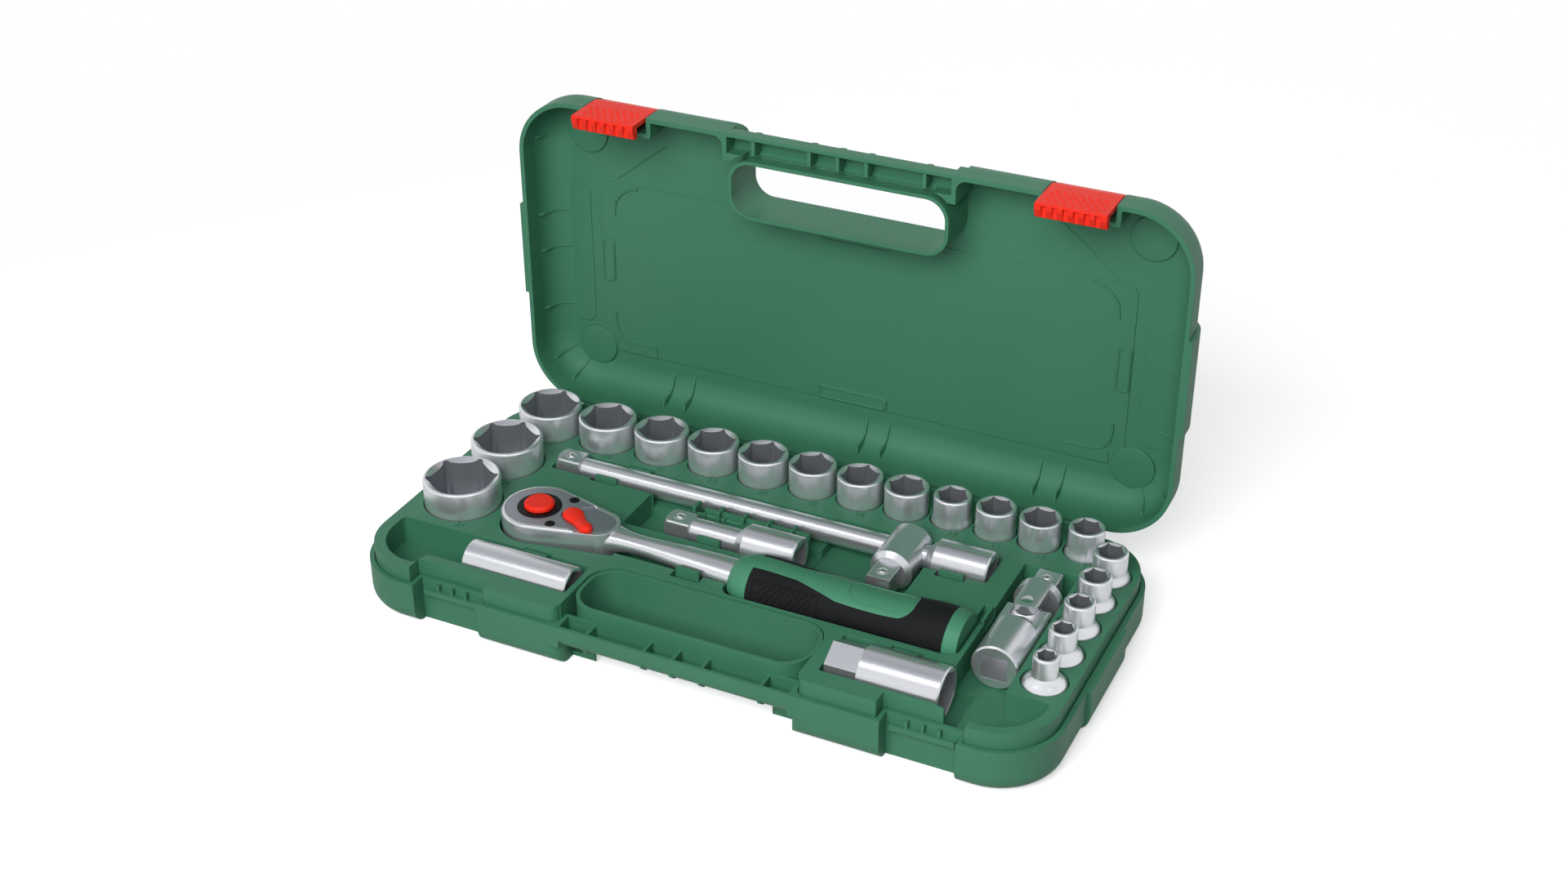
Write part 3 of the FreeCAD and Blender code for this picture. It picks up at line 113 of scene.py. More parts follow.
def spread(tree, value, low, high):
    """Carry the middle of a noise's range onto another range."""
    span = tree.nodes.new("ShaderNodeMapRange")
    span.inputs["From Min"].default_value = 0.3
    span.inputs["From Max"].default_value = 0.7
    span.inputs["To Min"].default_value = low
    span.inputs["To Max"].default_value = high
    link(tree, value, span.inputs["Value"])
    return span.outputs["Result"]


def vary_colour(tree, shader, value, dark, light):
    mix = tree.nodes.new("ShaderNodeMix")
    mix.data_type = "RGBA"
    mix.inputs["A"].default_value = (*dark, 1.0)
    mix.inputs["B"].default_value = (*light, 1.0)
    link(tree, value, mix.inputs["Factor"])
    link(tree, mix.outputs["Result"], shader.inputs["Base Color"])


def surface(tree, shader, value, strength, depth, edge):
    """Fine grain over edges that are softened by a small radius."""
    soft = tree.nodes.new("ShaderNodeBevel")
    soft.samples = 4
    soft.inputs["Radius"].default_value = edge
    grain = tree.nodes.new("ShaderNodeBump")
    grain.inputs["Strength"].default_value = strength
    grain.inputs["Distance"].default_value = depth
    link(tree, value, grain.inputs["Height"])
    link(tree, soft.outputs["Normal"], grain.inputs["Normal"])
    link(tree, grain.outputs["Normal"], shader.inputs["Normal"])


def moulded_plastic(name, dark, light, roughness, grain, depth, gloss=0.4):
    """Spark-eroded moulding: fine grain in the bump, slow drift in the colour and gloss."""
    made, tree, shader = new_material(name, light, roughness)
    drift = noise(tree, 9.0, 2.0)
    vary_colour(tree, shader, spread(tree, drift, 0.0, 1.0), dark, light)
    fine = noise(tree, grain, 2.0)
    link(tree, spread(tree, fine, roughness - 0.05, roughness + 0.06), shader.inputs["Roughness"])
    surface(tree, shader, fine, 0.35, depth, 0.5 * mm)
    shader.inputs["Specular IOR Level"].default_value = gloss
    return made


def satin_metal(name, dark, light, roughness, grain, metallic=1.0, strength=0.03,
                stretch=(1.0, 1.0, 1.0)):
    """Tumbled and plated steel: a fine speckle with a soft bead-blasted grain under it."""
    made, tree, shader = new_material(name, light, roughness, metallic)
    speckle = noise(tree, 2600.0, 2.0)
    vary_colour(tree, shader, spread(tree, speckle, 0.0, 1.0), dark, light)
    fine = noise(tree, grain, 2.0, stretch)
    link(tree, spread(tree, fine, roughness - 0.015, roughness + 0.02), shader.inputs["Roughness"])
    surface(tree, shader, fine, strength, 0.01 * mm, 0.35 * mm)
    return made


by_slot = {
    "case_plastic": moulded_plastic(
        "case_plastic", (0.040, 0.165, 0.093), (0.046, 0.183, 0.104), 0.50, 2600.0, 0.06 * mm),
    "handle_plastic": moulded_plastic(
        "handle_plastic", (0.052, 0.215, 0.122), (0.059, 0.235, 0.135), 0.42, 3200.0, 0.04 * mm),
    "red_plastic": moulded_plastic(
        "red_plastic", (0.81, 0.026, 0.012), (0.88, 0.031, 0.014), 0.46, 3000.0, 0.04 * mm, 0.25),
    "grip_rubber": moulded_plastic(
        "grip_rubber", (0.006, 0.0065, 0.007), (0.009, 0.0095, 0.010), 0.66, 1800.0, 0.10 * mm, 0.2),
    "insert_rubber": moulded_plastic(
        "insert_rubber", (0.008, 0.008, 0.008), (0.013, 0.013, 0.013), 0.70, 1800.0, 0.08 * mm, 0.3),
    "satin_chrome": satin_metal(
        "satin_chrome", (0.67, 0.68, 0.71), (0.70, 0.71, 0.74), 0.29, 2400.0, 0.85),
    "cover_steel": satin_metal(
        "cover_steel", (0.30, 0.31, 0.35), (0.36, 0.37, 0.41), 0.42, 1500.0, 0.85, 0.06, (0.15, 1.0, 1.0)),
    "dark_steel": satin_metal(
        "dark_steel", (0.018, 0.018, 0.019), (0.026, 0.026, 0.027), 0.42, 1500.0),
    "pin_steel": satin_metal(
        "pin_steel", (0.58, 0.58, 0.59), (0.66, 0.66, 0.67), 0.16, 1500.0, 1.0, 0.05),
}
socket_outside = satin_metal("socket_outside", (0.75, 0.76, 0.79), (0.78, 0.79, 0.82), 0.30, 2400.0, 0.84)
socket_inside = satin_metal("socket_inside", (0.40, 0.42, 0.45), (0.45, 0.47, 0.50), 0.36, 2400.0, 0.80)

for subpart in frame["record"]["subparts"]:
    mesh = nodes[subpart["node"]].data
    mesh.materials.clear()
    mesh.materials.append(by_slot[subpart["material_slot"]])


# Building blocks for the added pieces

def add_piece(name, form, body, slot, materials=(), sharp=32.0):
    mesh = bpy.data.meshes.new(name)
    bmesh.ops.recalc_face_normals(form, faces=form.faces)
    form.to_mesh(mesh)
    form.free()
    for made in materials or (by_slot[slot],):
        mesh.materials.append(made)
    mesh.shade_smooth()
    mesh.set_sharp_from_angle(angle=math.radians(sharp))
    thing = bpy.data.objects.new(name, mesh)
    bpy.context.scene.collection.objects.link(thing)
    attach(thing, body)
    return thing


def circle(radius, height, count=144):
    angles = [2 * math.pi * i / count for i in range(count)]
    return [(radius * math.cos(a), radius * math.sin(a), height) for a in angles]


def skin(form, rings, closed=True, material=0):
    """Quads between neighbouring rings of equal count."""
    made = [[form.verts.new(point) for point in ring] for ring in rings]
    count = len(rings[0])
    last = count if closed else count - 1
    for low, high in zip(made, made[1:]):
        for i in range(last):
            k = (i + 1) % count
            form.faces.new((low[i], low[k], high[k], high[i])).material_index = material
    return made


def capped(form, rings):
    """Skin that is closed at both ends."""
    made = skin(form, rings)
    form.faces.new(made[0])
    form.faces.new(made[-1])


def ridge(form, path, width, height, closed=True):
    """Low rib with sloping sides along (point, normal) pairs, its foot sunk a little."""
    rails = [[], [], [], []]
    count = len(path)
    for i, (point, normal) in enumerate(path):
        ahead = path[(i + 1) % count if closed else min(i + 1, count - 1)][0]
        behind = path[(i - 1) % count if closed else max(i - 1, 0)][0]
        across = normal.cross(ahead - behind).normalized()
        for rail, side, rise in zip(rails, (-0.5, -0.22, 0.22, 0.5), (-0.4, 1.0, 1.0, -0.4)):
            rail.append(point + across * side * width + normal * rise * height)
    skin(form, rails, closed)


def dome(form, point, normal, radius, height, count=12):
    """Low round pip that stands on a surface."""
    turn = normal.to_track_quat("Z", "Y").to_matrix()
    rings = []
    for share, rise in ((1.0, -0.3), (0.9, 0.45), (0.62, 0.85)):
        ring = circle(radius * share, rise * height, count)
        rings.append([point + turn @ Vector(place) for place in ring])
    top = skin(form, rings)[-1]
    tip = form.verts.new(point + normal * height)
    for i in range(count):
        form.faces.new((top[i], top[(i + 1) % count], tip))


def hit(node, start, way):
    """Where a straight line meets a CAD node, with the outward normal there."""
    thing = nodes[node]
    inside = thing.matrix_world.inverted()
    origin = inside @ Vector(start)
    found, point, normal, face = thing.ray_cast(origin, (inside.to_3x3() @ Vector(way)).normalized())
    if not found:
        raise ValueError("nothing of %s lies that way" % node)
    return thing.matrix_world @ point, (thing.matrix_world.to_3x3() @ normal).normalized()


def round_box(x0, x1, y0, y1, radius, steps=6):
    """Closed outline of a rectangle with round corners."""
    left, right, front, back = x0 + radius, x1 - radius, y0 + radius, y1 - radius
    middles = ((right, back), (left, back), (left, front), (right, front))
    points = []
    for quarter, (x, y) in enumerate(middles):
        for i in range(steps + 1):
            angle = math.pi / 2 * (quarter + i / steps)
            points.append((x + radius * math.cos(angle), y + radius * math.sin(angle)))
    return points


def finer(points, step, closed=True):
    """The same outline with points no further apart than step."""
    made = []
    for a, b in zip(points, points[1:] + (points[:1] if closed else [])):
        count = max(1, math.ceil(math.dist(a, b) / step))
        made += [tuple(p + (q - p) * i / count for p, q in zip(a, b)) for i in range(count)]
    return made if closed else made + [points[-1]]


# Sockets: turned outside, six flats with relieved corners inside

def flats_radius(size, angle, turn):
    """Distance of the hexagon's wall from the axis, with a round relief in each corner."""
    edge = 24.0
    phi = abs((math.degrees(angle) - turn) % 60.0 - 30.0)
    half = size / 2
    if phi <= edge:
        return half / math.cos(math.radians(phi))
    start = half / math.cos(math.radians(edge))
    end = 1.03 * half / math.cos(math.radians(30.0))
    share = (phi - edge) / (30.0 - edge)
    return start + (end - start) * math.sqrt(1 - (1 - share) ** 2)


def socket_piece(size):
    node = "socket_%02d" % size
    low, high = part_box(node)
    middle = (Vector(low) + Vector(high)) / 2
    bottom, top = low[2], high[2]
    corner = 0.8 * mm
    foot = (high[0] - low[0]) / 2
    places = [nodes[node].matrix_world @ v.co for v in nodes[node].data.vertices]
    radius = max((p - middle).xy.length for p in places if p.z > top - 1.2 * corner)
    flats = size * mm
    floor = top - (10.0 + 0.4 * size) * mm
    bore = 0.42 * min(flats, drive_square)
    turn = 30.0 if size >= corner_first_size else 0.0
    count = 144
    angles = [2 * math.pi * i / count for i in range(count)]
    wall = [flats_radius(flats, a, turn) for a in angles]
    lead = max(wall) + 0.15 * mm
    mouth = [(r * math.cos(a), r * math.sin(a), top - (lead - r) / 1.6) for r, a in zip(wall, angles)]
    hexagon = [(x, y, floor) for x, y, z in mouth]
    square = [square_hole / 2 / max(abs(math.cos(a)), abs(math.sin(a))) for a in angles]
    seat = bottom + square_depth
    outside = [circle(foot - corner, bottom), circle(foot - 0.3 * corner, bottom + 0.3 * corner),
               circle(foot, bottom + corner)]
    if foot > radius + corner / 4:
        flare = [(0.0, 0.0), (0.15, 0.06), (0.5, 0.5), (0.85, 0.94), (1.0, 1.0)]
        outside += [circle(foot - (foot - radius) * out, bottom + (21.5 + 6.0 * up) * mm)
                    for up, out in flare]
    lip = min(1.3 * mm, radius - lead - 0.15 * mm)
    outside += [circle(radius - lip * (1 - math.cos(a)), top - lip * (1 - math.sin(a)))
                for a in (0.0, math.pi / 8, math.pi / 4, 3 * math.pi / 8, math.pi / 2)]
    outside += [circle(lead, top), mouth]
    inside = [mouth, hexagon, circle(bore, floor), circle(bore, seat),
              [(r * math.cos(a), r * math.sin(a), seat) for r, a in zip(square, angles)],
              [(r * math.cos(a), r * math.sin(a), bottom) for r, a in zip(square, angles)], outside[0]]
    form = bmesh.new()
    skin(form, outside)
    skin(form, inside, True, 1)
    bmesh.ops.remove_doubles(form, verts=form.verts, dist=0.0005 * mm)
    bmesh.ops.translate(form, verts=form.verts, vec=(middle.x, middle.y, 0.0))
    thing = add_piece(node + "_turned", form, node, "satin_chrome", (socket_outside, socket_inside))
    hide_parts(node)


socket_sizes = sorted(int(name[7:]) for name in nodes if name.startswith("socket_"))
for size in socket_sizes:
    socket_piece(size)


# Moulded size numbers on the deck, in front of the sockets

def number(form, text, x, y, height):
    curve = bpy.data.curves.new("number", "FONT")
    curve.body = text
    curve.size = 1.42 * height
    curve.extrude = 0.35 * mm
    curve.resolution_u = 4
    curve.align_x = "CENTER"
    curve.align_y = "CENTER"
    thing = bpy.data.objects.new("number", curve)
    bpy.context.scene.collection.objects.link(thing)
    bpy.context.view_layer.update()
    mesh = bpy.data.meshes.new_from_object(thing.evaluated_get(bpy.context.evaluated_depsgraph_get()))
    mesh.transform(Matrix.Translation((x, y, deck_height)))
    form.from_mesh(mesh)
    bpy.data.objects.remove(thing)
    bpy.data.curves.remove(curve)
    bpy.data.meshes.remove(mesh)


def size_numbers():
    form = bmesh.new()
    for size in socket_sizes:
        low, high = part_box("socket_%02d" % size)
        x, y = (low[0] + high[0]) / 2, (low[1] + high[1]) / 2
        radius = (high[0] - low[0]) / 2
        front = y - 0.86 * radius - 4.0 * mm
        if size >= 30:
            number(form, str(size), x + 0.55 * radius, front, number_height)
        elif size > 12:
            number(form, str(size), x + 0.5 * radius, max(bar_trough_back + 2.8 * mm, front), number_height)
    add_piece("size_numbers", form, "case", "case_plastic")


size_numbers()


# Upright rim along the back of the deck, which closes the view under the open lid

back_webs = [gap + side * 6.5 for gap in (-104.2, 15.5, 116.4) for side in (-1, 1)]


def back_rim():
    """Thin rim with sloping ends, notched where the lid's webs come down."""
    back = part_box("tool_tray")[1][1]
    half = 155.0
    rim_height = 5.6 * mm
    notch = 0.35
    foot = deck_height - 0.6 * mm
    stations = [(-half, 0.0), (-half + 3.0, 0.75), (-half + 7.0, 1.0)]
    for x in back_webs:
        stations += [(x - 2.2, 1.0), (x - 1.8, notch), (x + 1.8, notch), (x + 2.2, 1.0)]
    stations += [(half - 7.0, 1.0), (half - 3.0, 0.75), (half, 0.0)]
    rings = []
    for x, share in stations:
        top = deck_height + rim_height * share
        shoulder = top - 0.5 * mm
        profile = ((-1.9, foot), (-1.8, shoulder), (-1.4, top), (-0.9, top), (-0.5, shoulder), (-0.4, foot))
        rings.append([Vector((x * mm, back + y * mm, z)) for y, z in profile])
    form = bmesh.new()
    capped(form, rings)
    add_piece("back_rim", form, "case", "case_plastic")


back_rim()


# Low wall with upright ribs between the short extension and the long bar

def slab(form, x0, x1, y0, y1, z0, z1, edge=0.4):
    """Upright plate with a bevelled top, in millimetres."""
    rings = []
    for z, inset in ((z0, 0.0), (z1 - edge, 0.0), (z1, edge)):
        left, right, front, back = x0 + inset, x1 - inset, y0 + inset, y1 - inset
        corners = ((left, front), (right, front), (right, back), (left, back))
        rings.append([Vector((x, y, z)) * mm for x, y in corners])
    capped(form, rings)


def tray_ribs():
    foot, wall_top, rib_top = 19.5, 32.5, 36.5
    half = 0.9
    form = bmesh.new()
    slab(form, -46.0, 14.0, 20.6, 22.0, foot, wall_top)
    for i in range(5):
        x = -44.0 + 14.0 * i
        slab(form, x - half, x + half, 19.4, 26.5, foot, rib_top)
    add_piece("tray_ribs", form, "case", "case_plastic")


tray_ribs()


# Pips on the latch plates

def latch_pips(side):
    node = "latch_" + side
    low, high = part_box(node)
    form = bmesh.new()
    up = Vector((0.0, 0.0, 1.0))
    pitch = 4.1 * mm
    middle = (low[0] + high[0]) / 2
    for row in range(5):
        count = 7 + row % 2
        for i in range(count):
            x = middle + (i - (count - 1) / 2) * pitch
            dome(form, Vector((x, low[1] + (4.0 + 3.1 * row) * mm, high[2])), up, 1.1 * mm, 0.5 * mm)
    add_piece(node + "_pips", form, node, "red_plastic", (), 50.0)


latch_pips("left")
latch_pips("right")


# Lines on the inside of the lid's back

def lid_point(x, y, rise):
    """A point on the lid's inside, from its place in plan when shut, in millimetres."""
    return Vector((x * mm, lid_back - rise, hinge_z + hinge_y - y * mm))


def lid_lines():
    form = bmesh.new()
    inward = Vector((0.0, -1.0, 0.0))
    for side in (1, -1):
        bracket = [(130, -36.4), (136, -34.8), (141, -31.2), (144.5, -26), (145.4, -18)]
        foot = [(121.5, 59.2), (137, 59.2), (142.5, 57.6), (146, 53.5), (147, 48), (147, 43)]
        diagonal = [(112, -64.6), (143, -40)]
        lines = ((diagonal, 0.0, 1.2, 0.5), (bracket, 0.5, 2.0, 0.9), (foot, 0.5, 1.8, 1.0))
        for points, rise, width, height in lines:
            path = [(lid_point(side * x, y, rise * mm), inward) for x, y in finer(points, 4.0, False)]
            ridge(form, path, width * mm, height * mm, False)
        tab = round_box(146.8, 153.2, -2.2, 22.2, 2.2)
        ridge(form, [(lid_point(side * x, y, 1.0 * mm), inward) for x, y in tab], 1.4 * mm, 0.6 * mm)
    upper = round_box(-20, 20, -33.4, -29.4, 1.9)
    lower = round_box(-19.6, 19.6, 59.3, 65.7, 2.2)
    for outline, rise in ((upper, 0.5), (lower, 1.0)):
        ridge(form, [(lid_point(x, y, rise * mm), inward) for x, y in outline], 1.3 * mm, 0.6 * mm)
    add_piece("lid_lines", form, "lid", "case_plastic")


def lid_discs():
    """Round pads in the four corners, with a soft edge."""
    form = bmesh.new()
    for x in (159.5, -159.5):
        for y in (65.5, -65.5):
            rings = []
            for radius, rise in ((12.1, 0.2), (12.0, 1.2), (11.7, 1.5), (11.2, 1.6), (3.0, 1.55)):
                ring = circle(radius, rise * mm, 64)
                rings.append([lid_point(x + px, y + py, pz) for px, py, pz in ring])
            form.faces.new(skin(form, rings)[-1])
    add_piece("lid_discs", form, "lid", "case_plastic")


def lid_web(form, x, y, turn, share):
    """Thin web across the bend, outwards from the bend's middle at an angle in plan from +Y to +X."""
    out = Vector((math.sin(turn), math.cos(turn)))
    along = Vector((out.y, -out.x))
    inner = lid_bend - lid_wall / mm
    middle_rise = lid_bend * mm - lid_wall
    rails = [[], [], [], []]
    steps = ((2, 0.2), (10, 3.8), (25, 3.0), (40, 1.6), (55, 1.1), (70, 1.2), (82, 0.8), (89, 0.1))
    for lean, height in steps:
        a = math.radians(lean)
        reaches = (inner + 0.4, inner - share * height, inner - share * height, inner + 0.4)
        for rail, reach, side in zip(rails, reaches, (-0.9, -0.5, 0.5, 0.9)):
            place = Vector((x, y)) + out * reach * math.cos(a) + along * side
            rail.append(lid_point(place.x, place.y, middle_rise - reach * mm * math.sin(a)))
    skin(form, rails, False)


def lid_webs():
    form = bmesh.new()
    for x in back_webs:
        lid_web(form, x, lid_half_y - lid_bend, 0.0, 1.0)
    for side in (1, -1):
        for y in (-62.0, -16.0, 6.0, 42.0):
            lid_web(form, side * (lid_half_x - lid_bend), y, side * math.pi / 2, 0.45)
        for lean in (30.0, 60.0):
            turn = side * math.radians(lean)
            out = lid_corner - lid_bend
            lid_web(form, side * (lid_half_x - lid_corner) + out * math.sin(turn),
                    lid_half_y - lid_corner + out * math.cos(turn), turn, 0.45)
    add_piece("lid_webs", form, "lid", "case_plastic")


lid_lines()
lid_discs()
lid_webs()


# Ratchet: the neck that flows into the shank, the thumb lever and the screws' black seats

def neck_section(x, half_width, low, high, power, count=48):
    """Closed upright outline across the ratchet, between an oval and a box, from the drive's axis."""
    ring = []
    for i in range(count):
        c, s = math.cos(2 * math.pi * i / count), math.sin(2 * math.pi * i / count)
        y = half_width * math.copysign(abs(c) ** (2 / power), c)
        z = (low + high) / 2 + (high - low) / 2 * math.copysign(abs(s) ** (2 / power), s)
        ring.append(Vector((drive_x + x * mm, handle_line + y * mm, z * mm)))
    return ring


def head_outline(inset):
    """Round head drawn to a round tail, in millimetres from the drive, set in by inset."""
    radius, half, far = 20.0 - inset, 9.0 - inset, 46.0 - inset
    lean = math.asin((radius - half) / far)
    tip = 1.2 * half
    tip_x = far - tip
    tip_y = (radius - tip - math.sin(lean) * tip_x) / math.cos(lean)
    out = math.pi / 2 - lean
    turns = [out * i / 16 for i in range(17)]
    tail = [Vector((math.cos(a), math.sin(a))) * tip + Vector((tip_x, tip_y)) for a in turns]
    sweep = 2 * (math.pi - out)
    turns = [out + sweep * i / 96 for i in range(97)]
    head = [Vector((math.cos(a), math.sin(a))) * radius for a in turns]
    side = [tail[-1].lerp(head[0], i / 24) for i in range(1, 24)]
    upper = tail + side + head[:49]
    return upper + [Vector((p.x, -p.y)) for p in reversed(upper[1:-1])]


def head_ring(inset, height):
    """One level of the head, lifted under the tail and stepped down where the lever sweeps."""
    ring = []
    for p in head_outline(inset):
        z = max(height, head_bottom + ((p.x - 29.0) * 10 / 22 - 1.0) * mm)
        if abs(p.y) < 5.08 + 0.7 * (p.x - 16.44):
            z = min(z, cover_top - 0.9 * mm)
        ring.append(Vector((drive_x + p.x * mm, handle_line + p.y * mm, z)))
    return ring


def ratchet_frame():
    """Head with a soft rim round the cover, and a neck that narrows and swells into the shank."""
    eighths = [math.pi / 8 * i for i in range(1, 5)]
    hole = [p.normalized() * 10.5 for p in head_outline(0.0)]
    rings = [[Vector((drive_x + p.x * mm, handle_line + p.y * mm, head_bottom + rise * mm)) for p in hole]
             for rise in (6.0, 0.0)]
    rings += [head_ring(3.0, head_bottom)]
    rings += [head_ring(3.0 * (1 - math.sin(a)), head_bottom + 3.0 * (1 - math.cos(a)) * mm) for a in eighths]
    rings += [head_ring(0.0, cover_top - 1.5 * mm)]
    rings += [head_ring(1.5 * (1 - math.cos(a)), cover_top - 1.5 * (1 - math.sin(a)) * mm) for a in eighths]
    rings += [head_ring(1.98, cover_top), head_ring(2.0, cover_top - 1.9 * mm)]
    steps = (
        (26, 11.0, 25.0, 40.6, 5.0), (34, 11.6, 25.5, 41.0, 4.2), (38, 10.6, 26.4, 41.0, 3.6),
        (42, 9.0, 27.6, 40.9, 3.0), (46, 7.5, 28.8, 40.4, 2.7), (50, 6.6, 29.6, 39.9, 2.45),
        (55, 5.95, 30.1, 39.5, 2.25), (61, 5.8, 30.2, 39.4, 2.15), (68, 6.15, 29.9, 39.6, 2.1),
        (77, 7.0, 29.1, 39.9, 2.0), (88, 7.9, 28.3, 40.1, 2.0), (101, 8.6, 27.3, 40.0, 2.0),
        (115, 9.2, 26.3, 39.8, 2.0),
    )
    form = bmesh.new()
    capped(form, rings)
    capped(form, [neck_section(*step) for step in steps])
    thing = add_piece("ratchet_frame", form, "ratchet", "satin_chrome", (), 40.0)
    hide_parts("ratchet_body")


def thumb_lever():
    """Rounded lever with a raised pad at its tip, drawn along +X and turned to its rest."""
    steps = (
        (-5.6, 0.1, 1.0), (-5.4, 1.5, 1.8), (-4.6, 3.2, 2.4), (-3.0, 4.7, 2.8), (-1.0, 5.5, 2.95),
        (1.0, 5.5, 2.95), (3.0, 5.0, 2.8), (6.0, 4.1, 2.5), (9.0, 3.5, 2.5), (12.0, 3.5, 2.9),
        (15.0, 3.7, 3.4), (17.0, 3.2, 3.3), (18.3, 2.0, 2.7), (18.9, 0.8, 2.0), (19.0, 0.1, 1.5),
    )
    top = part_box("reverse_lever")[1][2]
    pivot = Vector((drive_x + 20.0 * mm, handle_line, top - 3.4 * mm))
    turn = Matrix.Rotation(math.radians(-35.0), 3, "Z")
    rings = []
    for along, half, height in steps:
        arc = [math.pi * i / 16 for i in range(17)]
        ring = [Vector((along, half * math.cos(t), height * math.sin(t) ** 0.55)) * mm for t in arc]
        rings.append([pivot + turn @ point for point in ring])
    form = bmesh.new()
    capped(form, rings)
    thing = add_piece("thumb_lever", form, "lever", "red_plastic", (), 60.0)
    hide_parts("reverse_lever")


def screw_seats():
    """Round screw heads, each with a six-sided socket."""
    steps = ((2.75, -0.1, 48), (2.7, 0.12, 48), (2.1, 0.14, 48), (1.95, 0.30, 48), (1.35, 0.32, 6),
             (1.3, 0.02, 6), (0.3, 0.01, 6))
    form = bmesh.new()
    for side in (1, -1):
        middle = Vector((drive_x + 13.5 * mm, handle_line + side * 12.4 * mm, cover_top))
        rings = []
        for radius, rise, count in steps:
            ring = circle(radius * mm, rise * mm, count)
            ring = [ring[i * count // 48] for i in range(48)]
            rings.append([middle + Vector(point) for point in ring])
        form.faces.new(skin(form, rings)[-1])
    bmesh.ops.remove_doubles(form, verts=form.verts, dist=0.0005 * mm)
    add_piece("screw_seats", form, "ratchet", "dark_steel")


ratchet_frame()
thumb_lever()
screw_seats()


# Grip: pips in an outlined field on the side, an outlined oval on top

def grip_side(x, lift):
    """A point of the soft grip's front, at an angle above the level through its axis."""
    way = Vector((0.0, -math.cos(math.radians(lift)), math.sin(math.radians(lift))))
    axis = Vector((handle_start + x * mm, handle_line, handle_level))
    return hit("handle_grip", axis + 0.05 * way, -way)


def grip_field():
    form = bmesh.new()
    for row in range(5):
        for i in range(9 - row % 2):
            x = 19.0 + 3.4 * (i + 0.5 * (row % 2))
            point, normal = grip_side(x, 3.0 + 8.0 * row)
            dome(form, point, normal, 1.0 * mm, 0.7 * mm)
    outline = finer(round_box(15.0, 50.0, -3.0, 41.0, 5.0), 3.0)
    ridge(form, [grip_side(x, lift) for x, lift in outline], 0.9 * mm, 0.45 * mm)
    add_piece("grip_field", form, "ratchet", "grip_rubber", (), 50.0)


def top_oval():
    form = bmesh.new()
    outline = finer(round_box(62.0, 96.0, -8.0, 8.0, 7.9, 10), 2.0)
    down = Vector((0.0, 0.0, -1.0))
    path = [hit("handle_core", (handle_start + x * mm, handle_line + y * mm, 0.1), down) for x, y in outline]
    ridge(form, path, 0.9 * mm, 0.4 * mm)
    add_piece("handle_oval", form, "ratchet", "handle_plastic")


grip_field()
top_oval()


# Rolled rings that hold the balls of the square drives

def ball_ring(node, body):
    low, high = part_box(node)
    x, y = (low[0] + high[0]) / 2, (low[1] + high[1]) / 2
    flat = high[2] - 0.9 * mm
    up = Vector((0.0, 0.0, 1.0))
    form = bmesh.new()
    path = [(Vector((x + px, y + py, flat)), up) for px, py, pz in circle(2.75 * mm, 0.0, 40)]
    ridge(form, path, 0.7 * mm, 0.2 * mm)
    add_piece(node + "_ring", form, body, "satin_chrome")


for node, body in (("long_bar_ball", "long_bar"), ("short_extension_ball", "short_extension"),
                   ("t_head_ball", "t_head"), ("joint_ball", "joint_male")):
    ball_ring(node, body)


# Floor, light and camera

white = (1.0, 1.0, 1.0, 1.0)
ceiling_grey = (0.28, 0.30, 0.33, 1.0)
room_light = (0.13, 0.134, 0.138, 1.0)
floor_bounce = (0.30, 0.30, 0.30, 1.0)
floor_glow = 0.42
floor_radius = 6.0
fade_start, fade_end = 0.32, 0.95


def mix_colour(tree, factor, first, second):
    mix = tree.nodes.new("ShaderNodeMix")
    mix.data_type = "RGBA"
    for name, source in (("A", first), ("B", second)):
        if isinstance(source, tuple):
            mix.inputs[name].default_value = source
        else:
            link(tree, source, mix.inputs[name])
    link(tree, factor, mix.inputs["Factor"])
    return mix.outputs["Result"]


def floor():
    """Pale floor that fades into the white surroundings and keeps the object's shadow."""
    made, tree, shader = new_material("floor", (0.90, 0.90, 0.90), 0.9)
    drift = spread(tree, noise(tree, 3.0, 2.0), 0.0, 1.0)
    pale = mix_colour(tree, drift, (0.89, 0.89, 0.89, 1.0), (0.91, 0.91, 0.91, 1.0))
    rays = tree.nodes.new("ShaderNodeLightPath")
    link(tree, mix_colour(tree, rays.outputs["Is Diffuse Ray"], pale, floor_bounce),
         shader.inputs["Base Color"])
    place = tree.nodes.new("ShaderNodeTexCoord")
    reach = tree.nodes.new("ShaderNodeVectorMath")
    reach.operation = "LENGTH"
    link(tree, place.outputs["Object"], reach.inputs[0])
    fade = tree.nodes.new("ShaderNodeMapRange")
    fade.interpolation_type = "SMOOTHSTEP"
    fade.inputs["From Min"].default_value = fade_start
    fade.inputs["From Max"].default_value = fade_end
    fade.inputs["To Min"].default_value = 1.0
    fade.inputs["To Max"].default_value = 0.0
    link(tree, reach.outputs["Value"], fade.inputs["Value"])
    link(tree, fade.outputs["Result"], shader.inputs["Alpha"])
    shader.inputs["Emission Color"].default_value = white
    glow = tree.nodes.new("ShaderNodeMath")
    glow.operation = "MULTIPLY"
    glow.inputs[1].default_value = floor_glow
    link(tree, rays.outputs["Is Camera Ray"], glow.inputs[0])
    link(tree, glow.outputs["Value"], shader.inputs["Emission Strength"])
    mesh = bpy.data.meshes.new("floor")
    form = bmesh.new()
    bmesh.ops.create_circle(form, cap_ends=True, segments=96, radius=floor_radius)
    form.to_mesh(mesh)
    form.free()
    mesh.materials.append(made)
    thing = bpy.data.objects.new("floor", mesh)
    thing.location.z = -0.2 * mm
    bpy.context.scene.collection.objects.link(thing)


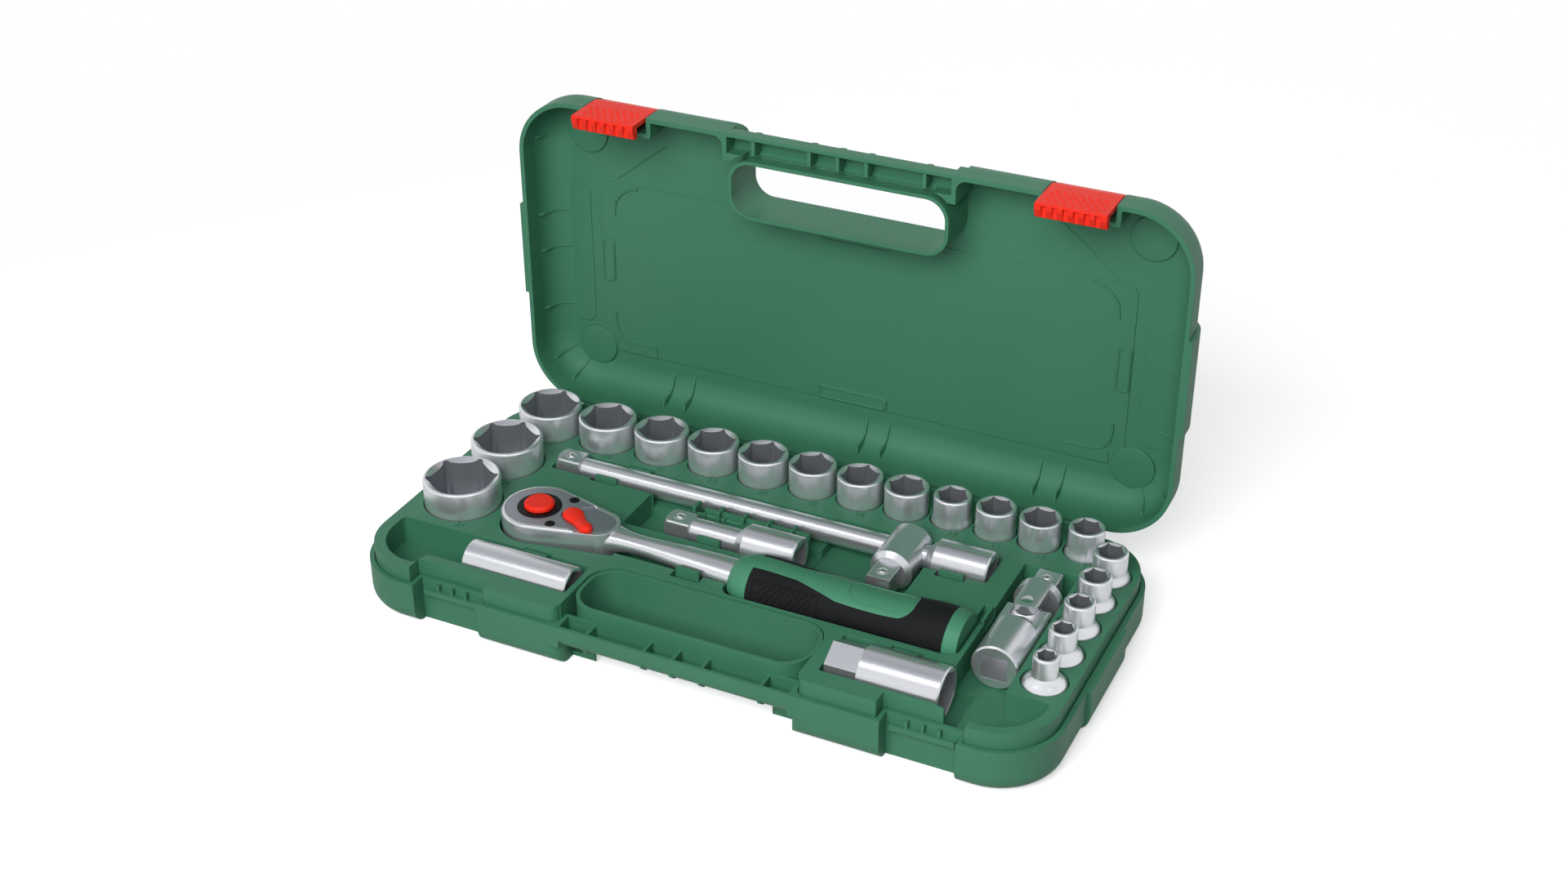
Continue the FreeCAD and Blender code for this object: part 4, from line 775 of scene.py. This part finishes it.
def area_light(name, place, target, size, power, mirrored=True, lighting=True):
    lamp = bpy.data.lights.new(name, "AREA")
    lamp.shape = "RECTANGLE"
    lamp.size, lamp.size_y = size
    lamp.energy = power
    thing = bpy.data.objects.new(name, lamp)
    thing.location = place
    aim = Vector(target) - Vector(place)
    thing.rotation_euler = aim.to_track_quat("-Z", "Y").to_euler()
    thing.visible_glossy = mirrored
    thing.visible_diffuse = lighting
    bpy.context.scene.collection.objects.link(thing)


def surroundings():
    """White to the camera, a white wall under a grey ceiling in reflections, plain grey as light."""
    world = bpy.data.worlds.new("studio")
    bpy.context.scene.world = world
    world.use_nodes = True
    tree = world.node_tree
    place = tree.nodes.new("ShaderNodeTexCoord")
    split = tree.nodes.new("ShaderNodeSeparateXYZ")
    link(tree, place.outputs["Generated"], split.inputs["Vector"])
    rise = tree.nodes.new("ShaderNodeMapRange")
    rise.inputs["From Min"].default_value = 0.50
    rise.inputs["From Max"].default_value = 0.97
    link(tree, split.outputs["Z"], rise.inputs["Value"])
    rays = tree.nodes.new("ShaderNodeLightPath")
    room = mix_colour(tree, rise.outputs["Result"], white, ceiling_grey)
    light = mix_colour(tree, rays.outputs["Is Glossy Ray"], room_light, room)
    seen = mix_colour(tree, rays.outputs["Is Camera Ray"], light, white)
    link(tree, seen, tree.nodes["Background"].inputs["Color"])


def camera():
    lens = bpy.data.cameras.new("camera")
    lens.sensor_width = 36.0
    lens.lens = camera_lens
    lens.clip_start = 0.01
    thing = bpy.data.objects.new("camera", lens)
    thing.location = camera_place
    thing.rotation_euler = (math.radians(90.0 - camera_drop), 0.0, math.radians(camera_turn))
    bpy.context.scene.collection.objects.link(thing)
    bpy.context.scene.camera = thing


floor()
surroundings()
area_light("key", (0.10, -1.10, 0.95), (0.0, 0.05, 0.08), (1.1, 0.7), 23.5, False)
area_light("back", (0.1, 1.0, 0.9), (0.0, 0.0, 0.08), (1.0, 0.6), 4.5, False)
area_light("strip", (0.1, -0.48, 1.00), (0.0, 0.0, 0.05), (1.6, 0.16), 3.6, True, False)
camera()
bpy.context.scene.view_settings.view_transform = "Standard"
